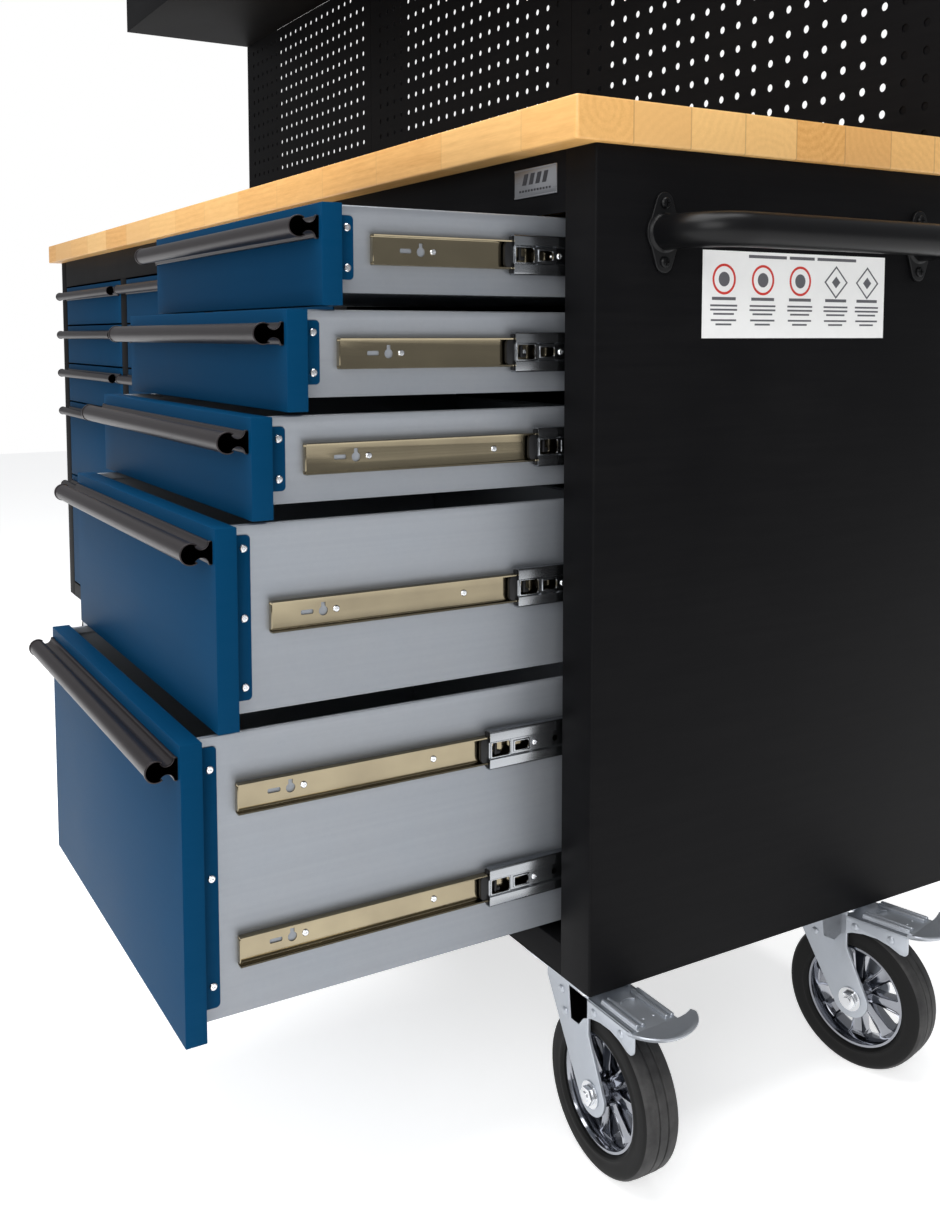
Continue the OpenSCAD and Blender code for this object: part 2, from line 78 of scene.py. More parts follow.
class Sock:
    """An output socket that takes part in arithmetic."""

    def __init__(self, graph: "Graph", link: bpy.types.NodeSocket) -> None:
        self.graph = graph
        self.link = link

    def _op(self, kind: str, *others: "Sock | float") -> "Sock":
        """Adds one Math node on this socket and others."""
        return self.graph.math(kind, self, *others)

    def __add__(self, other: "Sock | float") -> "Sock":
        """Sum."""
        return self._op("ADD", other)

    def __radd__(self, other: float) -> "Sock":
        """Reflected sum."""
        return self._op("ADD", other)

    def __sub__(self, other: "Sock | float") -> "Sock":
        """Difference."""
        return self._op("SUBTRACT", other)

    def __mul__(self, other: "Sock | float") -> "Sock":
        """Product."""
        return self._op("MULTIPLY", other)

    def __truediv__(self, other: "Sock | float") -> "Sock":
        """Quotient."""
        return self._op("DIVIDE", other)

    def __gt__(self, other: "Sock | float") -> "Sock":
        """1 where this is greater, else 0."""
        return self._op("GREATER_THAN", other)


class Graph:
    """Node tree of one material."""

    def __init__(self, name: str) -> None:
        self.material = bpy.data.materials.new(name)
        self.material.use_nodes = True
        self.tree = self.material.node_tree
        self.tree.nodes.clear()

    def node(self, kind: str, settings: dict, inputs: dict, out: "int | str" = 0) -> Sock:
        """Adds any node.

        Args:
            kind: Blender's node type.
            settings: attributes set first; "stops" fills a colour ramp.
            inputs: socket name or index to a value or a Sock.
            out: the output to return.

        Returns:
            The chosen output.
        """
        made = self.tree.nodes.new(kind)
        for key, value in settings.items():
            if key == "stops":
                self._fill_ramp(made, value)
            else:
                setattr(made, key, value)
        for key, value in inputs.items():
            self._feed(made.inputs[key], value)
        return Sock(self, made.outputs[out]) if made.outputs else Sock(self, None)

    def _fill_ramp(self, ramp: bpy.types.Node, stops: Sequence[tuple]) -> None:
        """Sets the stops of a colour ramp, each (position, colour)."""
        elements = ramp.color_ramp.elements
        while len(elements) < len(stops):
            elements.new(0.5)
        for element, (position, colour) in zip(elements, stops):
            element.position = position
            element.color = (*colour, 1.0)

    def _feed(self, socket: bpy.types.NodeSocket, value: object) -> None:
        """Links or sets one input."""
        if isinstance(value, Sock):
            self.tree.links.new(value.link, socket)
        elif isinstance(value, tuple) and len(value) == 3 and socket.type == "RGBA":
            socket.default_value = (*value, 1.0)
        else:
            socket.default_value = value

    def math(self, kind: str, *values: "Sock | float", clamp: bool = False) -> Sock:
        """Adds a Math node on up to three values."""
        settings = {"operation": kind, "use_clamp": clamp}
        return self.node("ShaderNodeMath", settings, dict(enumerate(values)))

    def place(self, scale: Sequence[float] = (1, 1, 1), shift: Sequence[float] = (0, 0, 0)) -> Sock:
        """Object coordinates, moved and scaled."""
        coords = self.node("ShaderNodeTexCoord", {}, {}, "Object")
        inputs = {"Vector": coords, "Location": tuple(shift), "Scale": tuple(scale)}
        return self.node("ShaderNodeMapping", {}, inputs)

    def noise(self, vector: Sock, scale: float, detail: float = 3.0, rough: float = 0.5) -> Sock:
        """Fractal noise, 0 to 1."""
        inputs = {"Vector": vector, "Scale": scale, "Detail": detail, "Roughness": rough}
        return self.node("ShaderNodeTexNoise", {}, inputs, "Fac")

    def split(self, vector: Sock) -> tuple[Sock, Sock, Sock]:
        """The three parts of a vector."""
        made = self.tree.nodes.new("ShaderNodeSeparateXYZ")
        self._feed(made.inputs[0], vector)
        return tuple(Sock(self, made.outputs[i]) for i in range(3))

    def combine(self, x: "Sock | float", y: "Sock | float", z: "Sock | float") -> Sock:
        """A vector from three parts."""
        return self.node("ShaderNodeCombineXYZ", {}, {0: x, 1: y, 2: z})

    def ramp(self, value: Sock, *stops: tuple) -> Sock:
        """Colour ramp over a value."""
        return self.node("ShaderNodeValToRGB", {"stops": stops}, {"Fac": value}, "Color")

    def mix(self, factor: "Sock | float", a: object, b: object) -> Sock:
        """Mixes two colours."""
        return self.node("ShaderNodeMix", {"data_type": "RGBA"}, {0: factor, 6: a, 7: b}, 2)

    def bump(self, height: Sock, strength: float, distance: float) -> Sock:
        """Normal from a height, distance in metres."""
        inputs = {"Height": height, "Strength": strength, "Distance": distance}
        return self.node("ShaderNodeBump", {}, inputs, "Normal")

    def surface(self, **inputs: object) -> bpy.types.Material:
        """Ends the graph in a principled surface; underscores in names stand for spaces."""
        named = {key.replace("_", " "): value for key, value in inputs.items()}
        shader = self.node("ShaderNodeBsdfPrincipled", {}, named)
        self.node("ShaderNodeOutputMaterial", {}, {"Surface": shader})
        return self.material


# -------------------------------------------------------------------- finishes

Colour = tuple[float, float, float]


@dataclass(frozen=True)
class Finish:
    """A surface finish, built once and shared by all pieces that have it."""

    name: str

    def build(self, g: Graph) -> bpy.types.Material:
        """Adds the finish's nodes to a graph."""
        raise NotImplementedError

    def material(self) -> bpy.types.Material:
        """Returns the finish's material, building it the first time."""
        return bpy.data.materials.get(self.name) or self.build(Graph(self.name))


@dataclass(frozen=True)
class PowderCoat(Finish):
    """Baked powder coat with a fine orange peel, dust and slight polish marks."""

    colour: Colour
    roughness: float
    peel: float
    dust: float
    shine: float

    def build(self, g: Graph) -> bpy.types.Material:
        """Adds the coat's nodes."""
        here = g.place()
        fine = g.noise(here, 1400, 2)
        broad = g.noise(here, 7, 4, 0.6)
        streak = g.noise(g.place((3, 3, 60)), 3, 3, 0.55)
        tone = g.mix(broad * 0.5 + streak * 0.2, self.colour, tuple(c * 1.35 + 0.001 for c in self.colour))
        dusty = g.mix((broad * streak * self.dust * 3), tone, (0.35, 0.34, 0.32))
        return g.surface(Base_Color=dusty, Roughness=self.roughness + (broad - 0.5) * 0.10 + fine * 0.05,
                         Specular_IOR_Level=self.shine,
                         Normal=g.bump(fine + broad * 0.3, self.peel, 0.00025))


@dataclass(frozen=True)
class PlatedSteel(Finish):
    """Zinc-plated or galvanised sheet with rolling streaks, spangle and clouds of a second colour: a faint
    tint on most sheets, and on the yellow zinc runners a painted reflection, dark patches among bright.
    """

    colour: Colour
    tint_and_painted_reflection: Colour
    metal: float
    roughness: float
    spangle: float
    grain: Sequence[float] = (400, 6, 400)

    def build(self, g: Graph) -> bpy.types.Material:
        """Adds the plate's nodes."""
        here = g.place()
        cloud = g.noise(here, 14, 3, 0.6)
        roll = g.noise(g.place(self.grain), 1.0, 3, 0.6)
        flake = g.node("ShaderNodeTexVoronoi", {}, {"Vector": here, "Scale": 260.0}, "Color")
        shade = g.split(flake)[0] * self.spangle
        # Clouds of the second colour: a faint tint on most sheets; on the yellow zinc runners a painted
        # reflection of dark surroundings
        base = g.mix(cloud, self.colour, self.tint_and_painted_reflection)
        toned = g.mix(roll * 0.25 + shade, base, tuple(c * 0.72 for c in self.colour))
        rough = self.roughness + (roll - 0.5) * 0.12 + (cloud - 0.5) * 0.10 + shade * 0.3
        return g.surface(Base_Color=toned, Metallic=self.metal, Roughness=rough,
                         Normal=g.bump(roll, 0.06, 0.0002))


@dataclass(frozen=True)
class SatinBar(Finish):
    """Anodised pull with fine lines drawn along X."""

    colour: Colour = (0.018, 0.0145, 0.0155)

    def build(self, g: Graph) -> bpy.types.Material:
        """Adds the bar's nodes."""
        line = g.noise(g.place((4, 1800, 1800)), 1.0, 2)
        wear = g.noise(g.place(), 30, 4, 0.6)
        tone = g.mix(wear * 0.5 + line * 0.3, self.colour, tuple(c * 1.9 for c in self.colour))
        return g.surface(Base_Color=tone, Metallic=0.55, Roughness=0.32 + line * 0.12,
                         Normal=g.bump(line, 0.08, 0.0002))


@dataclass(frozen=True)
class Gloss(Finish):
    """Plain glossy or matt plastic, enamel or chrome with faint handling marks."""

    colour: Colour
    metal: float
    roughness: float
    marks: float
    shine: float = 0.5

    def build(self, g: Graph) -> bpy.types.Material:
        """Adds the finish's nodes."""
        smear = g.noise(g.place(), 45, 5, 0.65)
        fine = g.noise(g.place(), 900, 2)
        tone = g.mix(smear * 0.4, self.colour, tuple(c * 1.25 + 0.001 for c in self.colour))
        return g.surface(Base_Color=tone, Metallic=self.metal, Specular_IOR_Level=self.shine,
                         Roughness=self.roughness + smear * self.marks,
                         Normal=g.bump(fine, 0.04, 0.0001))


@dataclass(frozen=True)
class Rubber(Finish):
    """Tyre rubber, greyed by dust and rolling."""

    colour: Colour
    dusty: Colour
    dust: float

    def build(self, g: Graph) -> bpy.types.Material:
        """Adds the rubber's nodes."""
        patch = g.noise(g.place(), 30, 5, 0.65)
        fine = g.noise(g.place(), 700, 3)
        tone = g.mix(g.math("MULTIPLY", patch * patch, self.dust * 3, clamp=True), self.colour, self.dusty)
        return g.surface(Base_Color=tone, Specular_IOR_Level=0.2, Roughness=0.5 + patch * 0.25,
                         Normal=g.bump(fine + patch * 0.4, 0.2, 0.0003))


@dataclass(frozen=True)
class ButcherBlock(Finish):
    """Glued staves along X with finger joints, growth rings and an oiled sheen."""

    origin: Point
    stave_w: float = 0.0665
    stave_l: float = 0.1525
    light: Colour = (0.84, 0.46, 0.145)
    dark: Colour = (0.61, 0.28, 0.06)

    def build(self, g: Graph) -> bpy.types.Material:
        """Adds the wood's nodes."""
        x, y, z = g.split(g.place(shift=(-self.origin[0], -self.origin[1], 0)))
        row = g.math("FLOOR", y / self.stave_w)
        along = x / self.stave_l + g.math("FRACT", (row + 1.0) * 0.618)
        stave = g.math("FLOOR", along)
        pick = g.node("ShaderNodeTexWhiteNoise", {"noise_dimensions": "2D"},
                      {"Vector": g.combine(stave, row, 0.0)}, "Color")
        r1, r2, r3 = g.split(pick)
        # Rings lie about a pith line below or above each stave, so ends show arcs
        wander = g.noise(g.place((1.2, 9, 9)), 2.0, 3, 0.55)
        py = (y / self.stave_w - row - r1 * 2.0 + 0.5) * self.stave_w + wander * 0.020
        pz = z - 0.985 + (r2 - 0.5) * 0.16 + wander * 0.014
        radius = g.math("SQRT", py * py + pz * pz)
        ring = g.math("SINE", radius * 760.0 + wander * 7.0) * 0.5 + 0.5
        pore = g.noise(g.place((18, 900, 900)), 1.0, 2, 0.7)
        fleck = g.noise(g.place((40, 260, 260)), 1.0, 3, 0.6)
        grain = ring * 0.13 + pore * 0.37 + fleck * 0.50
        wood = g.ramp(grain, (0.25, self.light), (0.80, self.dark))
        toned = g.mix(r3 * 0.55, wood, (0.97, 0.66, 0.28))
        reddish = g.mix((r1 > 0.72) * 0.35, toned, (0.66, 0.33, 0.10))
        # Thin glue lines between staves and at their ends
        side = g.math("ABSOLUTE", g.math("FRACT", y / self.stave_w) - 0.5)
        end = g.math("ABSOLUTE", g.math("FRACT", along) - 0.5)
        glue = g.math("MAXIMUM", side > 0.488, end > 0.4975)
        final = g.mix(glue * 0.45, reddish, (0.36, 0.19, 0.07))
        height = grain * 0.6 - glue * 0.8
        return g.surface(Base_Color=final, Roughness=0.36 + grain * 0.14 - r3 * 0.05,
                         Coat_Weight=0.25, Coat_Roughness=0.25, Normal=g.bump(height, 0.14, 0.0004))


BODY_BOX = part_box("side_panels")


class Skin(Enum):
    """The finishes of this bench, by what they are on."""

    BODY = PowderCoat("black_powder_coat", (0.0032, 0.0032, 0.0038), 0.50, 0.10, 0.006, 0.05)
    FRONT = PowderCoat("blue_powder_coat", (0.0006, 0.036, 0.092), 0.46, 0.14, 0.003, 0.02)
    BOX = PlatedSteel("drawer_box_sheet", (0.27, 0.295, 0.33), (0.31, 0.32, 0.34), 0.55, 0.42, 0.05,
                      (2, 2, 220))
    RAIL = PlatedSteel("bright_zinc", (0.42, 0.44, 0.47), (0.38, 0.39, 0.40), 1.0, 0.22, 0.0)
    # The runners' second colour is about half as bright as the zinc: painted dark reflections, clouded over
    # the plate
    RUNNER = PlatedSteel("yellow_zinc", (0.42, 0.36, 0.24), (0.22, 0.185, 0.13), 1.0, 0.14, 0.0)
    CASTER = PlatedSteel("plated_caster_steel", (0.44, 0.475, 0.53), (0.46, 0.48, 0.51), 0.62, 0.32, 0.02,
                         (60, 60, 60))
    PULL = SatinBar("satin_pull")
    TUBE = Gloss("black_tube_enamel", (0.004, 0.004, 0.0045), 0.0, 0.30, 0.08, 0.2)
    CHROME = Gloss("bright_chrome", (0.30, 0.31, 0.34), 1.0, 0.08, 0.06)
    SCREW = Gloss("bright_screw", (0.75, 0.76, 0.78), 1.0, 0.18, 0.10)
    PLASTIC = Gloss("black_plastic", (0.008, 0.008, 0.009), 0.0, 0.38, 0.10, 0.3)
    SIDEWALL = Rubber("tyre_sidewall", (0.005, 0.005, 0.005), (0.020, 0.020, 0.020), 0.12)
    TREAD = Rubber("tyre_tread", (0.016, 0.016, 0.017), (0.085, 0.083, 0.082), 0.62)
    WOOD = ButcherBlock("oiled_butcher_block", (BODY_BOX[1].x - 0.0805, BODY_BOX[0].y + 0.0352))
    PLATE = PlatedSteel("brushed_aluminium", (0.42, 0.43, 0.45), (0.38, 0.38, 0.40), 1.0, 0.30, 0.0,
                        (6, 600, 900))
    PLATE_DARK = Gloss("plate_dark_field", (0.03, 0.03, 0.035), 0.2, 0.35, 0.08)
    PAPER = Gloss("label_white", (0.80, 0.80, 0.79), 0.0, 0.35, 0.08)
    PRINT = Gloss("label_grey_print", (0.10, 0.10, 0.11), 0.0, 0.40, 0.05)
    PRINT_RED = Gloss("label_red_print", (0.55, 0.03, 0.02), 0.0, 0.40, 0.05)

    def material(self) -> bpy.types.Material:
        """The finish's material."""
        return self.value.material()


# ----------------------------------------------------------- shaping with bpy


def only(*objects: Mesh) -> None:
    """Selects these objects and nothing else, the first one active."""
    bpy.ops.object.select_all(action="DESELECT")
    for obj in objects:
        obj.select_set(True)
    bpy.context.view_layer.objects.active = objects[0]


@contextmanager
def editing(obj: Mesh, mode: str = "FACE") -> Iterator[None]:
    """Opens a mesh in edit mode with what is selected in its data."""
    only(obj)
    bpy.ops.object.mode_set(mode="EDIT")
    bpy.ops.mesh.select_mode(type=mode)
    yield
    bpy.ops.object.mode_set(mode="OBJECT")


def mark_faces(obj: Mesh, test: Callable[[bpy.types.MeshPolygon], bool]) -> None:
    """Selects the faces that pass a test."""
    mesh = obj.data
    for group in (mesh.vertices, mesh.edges, mesh.polygons):
        group.foreach_set("select", [False] * len(group))
    for face in mesh.polygons:
        face.select = bool(test(face))


def weld() -> None:
    """Merges doubled points of the open mesh and turns all its faces outwards."""
    bpy.ops.mesh.select_all(action="SELECT")
    bpy.ops.mesh.remove_doubles(threshold=1e-6)
    bpy.ops.mesh.normals_make_consistent(inside=False)


def mm(*lengths: float) -> tuple[float, ...]:
    """Millimetres as metres."""
    return tuple(length * MM for length in lengths)


def mirrored(half: Sequence[Point]) -> list[Point]:
    """An outline closed by its mirror image below the first axis."""
    return [*half, *[(x, -y) for x, y in reversed(half)]]


def baked(obj: Mesh, matrix: Matrix = Matrix.Identity(4)) -> Mesh:
    """Puts an object's place, and a further move, into its mesh."""
    obj.data.transform(matrix @ obj.matrix_basis)
    obj.matrix_basis = Matrix.Identity(4)
    if matrix.determinant() < 0:
        obj.data.flip_normals()
    return obj


def primitive(kind: str, **settings: object) -> Mesh:
    """Adds one of the basic meshes, with nothing else selected."""
    bpy.ops.object.select_all(action="DESELECT")
    getattr(bpy.ops.mesh, f"primitive_{kind}_add")(**settings)
    return bpy.context.object


def push(x: float, y: float, z: float) -> None:
    """Extrudes the open mesh's selection by a distance."""
    bpy.ops.mesh.extrude_region_move(TRANSFORM_OT_translate={"value": (x, y, z)})


def slab(lo: Sequence[float], hi: Sequence[float]) -> Mesh:
    """A block between two corners."""
    low, high = Vector(lo), Vector(hi)
    return baked(primitive("cube", size=1, location=(low + high) / 2, scale=high - low))


def rod(start: Sequence[float], end: Sequence[float], radius: float, sides: int = 24) -> Mesh:
    """A round bar between two points."""
    a, b = Vector(start), Vector(end)
    turn = (b - a).to_track_quat("Z", "Y").to_euler()
    return baked(primitive("cylinder", vertices=sides, radius=radius, depth=(b - a).length,
                           location=(a + b) / 2, rotation=turn))


def soften(obj: Mesh, width: float, segments: int = 2, angle: float = 30.0) -> Mesh:
    """Rounds the sharp edges of a mesh."""
    only(obj)
    bevel = obj.modifiers.new("edge", "BEVEL")
    bevel.width = width
    bevel.segments = segments
    bevel.limit_method = "ANGLE"
    bevel.angle_limit = math.radians(angle)
    bevel.harden_normals = False
    bpy.ops.object.modifier_apply(modifier=bevel.name)
    return obj


def cut(obj: Mesh, *cutters: Mesh) -> Mesh:
    """Takes cutters away from a mesh."""
    for cutter in cutters:
        only(obj)
        tool = obj.modifiers.new("cut", "BOOLEAN")
        tool.operation = "DIFFERENCE"
        tool.solver = "EXACT"
        tool.object = cutter
        bpy.ops.object.modifier_apply(modifier=tool.name)
        bpy.data.objects.remove(cutter)
    return obj


def join(*objects: Mesh) -> Mesh:
    """Joins meshes into the first one, keeping their materials."""
    if len(objects) > 1:
        only(*objects)
        bpy.ops.object.join()
    return objects[0]


def copy_of(obj: Mesh, matrix: Matrix = Matrix.Identity(4)) -> Mesh:
    """A copy with its own mesh, moved."""
    twin = obj.copy()
    twin.data = obj.data.copy()
    bpy.context.scene.collection.objects.link(twin)
    return baked(twin, matrix)


def painted(obj: Mesh, skin: Skin) -> Mesh:
    """Gives a mesh one finish."""
    obj.data.materials.clear()
    obj.data.materials.append(skin.material())
    return obj


def extruded(outline: Sequence[Point], length: float, matrix: Matrix = Matrix.Identity(4)) -> Mesh:
    """A prism: an outline in XY extruded along +Z, then moved.

    Args:
        outline: corners of a closed outline, in metres.
        length: the extrusion's length.
        matrix: where the prism goes.

    Returns:
        The prism.
    """
    obj = primitive("circle", vertices=len(outline), radius=1, fill_type="NGON")
    for vertex, (x, y) in zip(obj.data.vertices, outline):
        vertex.co = (x, y, 0)
    with editing(obj):
        bpy.ops.mesh.select_all(action="SELECT")
        push(0, 0, length)
        bpy.ops.mesh.select_all(action="SELECT")
        bpy.ops.mesh.normals_make_consistent(inside=False)
    return baked(obj, matrix)


def turned(profile: Sequence[Point], steps: int = 64, matrix: Matrix = Matrix.Identity(4)) -> Mesh:
    """A turned shape: a closed profile of (radius, height) spun about Z, then moved."""
    obj = primitive("circle", vertices=len(profile), radius=1, fill_type="NOTHING")
    for vertex, (r, z) in zip(obj.data.vertices, profile):
        vertex.co = (r, 0, z)
    with editing(obj, "VERT"):
        bpy.ops.mesh.select_all(action="SELECT")
        bpy.ops.mesh.spin(steps=steps, angle=math.tau, center=(0, 0, 0), axis=(0, 0, 1))
        weld()
    return baked(obj, matrix)


def from_node(node: str, width: float = 0.0, segments: int = 2, angle: float = 30.0) -> Mesh:
    """A copy of a CAD node, its triangles merged and its edges rounded."""
    obj = frame["nodes"][node].copy()
    obj.data = obj.data.copy()
    obj.parent = None
    for key in [k for k in obj.keys() if k.startswith("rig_")]:
        del obj[key]
    bpy.context.scene.collection.objects.link(obj)
    with editing(obj):
        bpy.ops.mesh.select_all(action="SELECT")
        bpy.ops.mesh.remove_doubles(threshold=1e-6)
        bpy.ops.mesh.dissolve_limited(angle_limit=math.radians(0.5))
    return soften(obj, width, segments, angle) if width else obj


def folded_shell(lo: Sequence[float], hi: Sequence[float], t: float) -> Mesh:
    """A front of folded sheet: a block hollowed from behind, its edges rounded."""
    shell = slab(lo, hi)
    mark_faces(shell, lambda face: face.normal.y > 0.5)
    with editing(shell):
        bpy.ops.mesh.inset(thickness=t, depth=0)
        push(0, t - (hi[1] - lo[1]), 0)
    return soften(shell, 1.1 * MM, 3)


def arc(cx: float, cy: float, r: float, start: float, end: float, steps: int) -> list[Point]:
    """Points along an arc, angles in degrees."""
    angles = [math.radians(start + (end - start) * i / steps) for i in range(steps + 1)]
    return [(cx + r * math.cos(a), cy + r * math.sin(a)) for a in angles]


def along_x(origin: Sequence[float]) -> Matrix:
    """Takes a prism's XY outline to YZ, and its length to +X, at an origin."""
    axes = Matrix(((0, 0, 1, 0), (1, 0, 0, 0), (0, 1, 0, 0), (0, 0, 0, 1)))
    return Matrix.Translation(origin) @ axes


def along_y(origin: Sequence[float]) -> Matrix:
    """Takes a prism's XY outline to XZ, and its length to +Y, at an origin."""
    axes = Matrix(((1, 0, 0, 0), (0, 0, 1, 0), (0, 1, 0, 0), (0, 0, 0, 1)))
    return Matrix.Translation(origin) @ axes


def hand_over(obj: Mesh, name: str, body: str, slot: str, replaces: Sequence[str] = (),
              skin: "Skin | None" = None, smooth: float = 35.0) -> Mesh:
    """Finishes a piece and fixes it to its body.

    Args:
        obj: the piece, its place in its mesh.
        name: the piece's name.
        body: the body it moves with.
        slot: a material slot's name; not used.
        replaces: CAD nodes that it stands for.
        skin: its finish, if it isn't painted yet.
        smooth: the angle below which edges are shaded smooth.

    Returns:
        The piece.
    """
    if skin:
        painted(obj, skin)
    obj.name = name
    obj.data.name = name
    only(obj)
    bpy.ops.object.shade_smooth_by_angle(angle=math.radians(smooth))
    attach(obj, body)
    if replaces:
        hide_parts(*replaces)
    log.info("%s: %d faces on %s", name, len(obj.data.polygons), body)
    return obj


# ------------------------------------------------------------------- fasteners


def pan_screw(radius: float, height: float) -> Mesh:
    """A pan-head screw with a cross recess, seated at z = 0, head along +Z."""
    head = turned([(0, 0), (radius, 0), (radius, height * 0.5), (radius * 0.78, height * 0.88),
                   (0, height)], 16)
    wide, thin = radius * 1.1, radius * 0.24
    low, high = height * 0.45, height * 1.2
    cut(head, slab((-wide / 2, -thin / 2, low), (wide / 2, thin / 2, high)),
        slab((-thin / 2, -wide / 2, low), (thin / 2, wide / 2, high)))
    return painted(head, Skin.SCREW)


def hex_bolt(radius: float, height: float) -> Mesh:
    """A hexagon head on a washer, seated at z = 0, head along +Z."""
    washer = turned([(0, 0), (radius * 1.35, 0), (radius * 1.35, height * 0.2), (0, height * 0.2)], 28)
    head = extruded(arc(0, 0, radius, 0, 300, 5), height * 0.8, Matrix.Translation((0, 0, height * 0.2)))
    tip = turned([(0, 0), (radius * 0.5, 0), (radius * 0.45, height * 0.22), (0, height * 0.22)], 20,
                 Matrix.Translation((0, 0, height)))
    return painted(join(washer, soften(head, radius * 0.09), tip), Skin.SCREW)


def dome(radius: float, height: float) -> Mesh:
    """A domed rivet head, seated at z = 0, head along +Z."""
    curve = [(radius * math.cos(a), height * math.sin(a)) for a in (0, 0.4, 0.8, 1.2, math.pi / 2)]
    return turned([(0, 0), *curve], 16)


def facing(point: Sequence[float], way: Sequence[float]) -> Matrix:
    """Stands something made along +Z on a point, along a way."""
    return Matrix.Translation(point) @ Vector(way).to_track_quat("Z", "Y").to_matrix().to_4x4()


MIRROR_X = Matrix.Scale(-1, 4, (1, 0, 0))
PART_SLOTS = {"front": "blue_steel", "box": "galvanised_sheet", "runners": "zinc_steel",
              "pull": "dark_bronze"}


# --------------------------------------------------------------------- drawers


@dataclass(frozen=True)
class DrawerSizes:
    """Sizes that every drawer shares, in metres."""

    width: float
    face_t: float = 18.5 * MM
    sheet_t: float = 1.2 * MM
    box_l: float = 436 * MM
    box_lift: float = 11 * MM
    slide_room: float = 13 * MM
    seam: float = 0.02 * MM
    slide_l: float = 400 * MM
    slide_back: float = 50 * MM
    tall_slide_inset: float = 56 * MM

    def slide_heights(self, height: float) -> list[float]:
        """Heights of the slides' middles above the front's lower edge."""
        if height > 0.2:
            return [self.box_lift + self.tall_slide_inset, height - self.tall_slide_inset]
        return [(self.box_lift + height) / 2]


def channel_outline(depth: float, height: float, t: float, r: float = 2.4 * MM) -> list[Point]:
    """Outline of a slide member: web at x = 0, lips to x = depth with their ends rolled in."""
    half = height / 2
    roll = 1.0 * MM
    upper = [*arc(r, half - r, r, 180, 90, 5), (depth - roll, half), (depth, half - roll * 0.6),
             (depth - roll * 0.4, half - roll * 1.9), (depth - roll * 1.4, half - t)]
    inner = arc(r, half - r, r - t, 90, 180, 5)
    top = [*upper, *inner]
    return mirrored(top)


def stepped_outline(depth: float, height: float, t: float, step: float, band: float) -> list[Point]:
    """Outline of a slide member whose web is sunk between two bands."""
    half = height / 2
    r = 2.2 * MM
    edge = half - band
    outer = [(step, edge - 1.4 * MM), (0, edge), *arc(r, half - r, r, 180, 90, 5), (depth, half)]
    inner = [(depth, half - t), *arc(r, half - r, r - t, 90, 180, 5), (t, edge + 0.3 * MM),
             (step + t, edge - 1.4 * MM + 0.3 * MM)]
    top = [*outer, *inner]
    return mirrored(top)


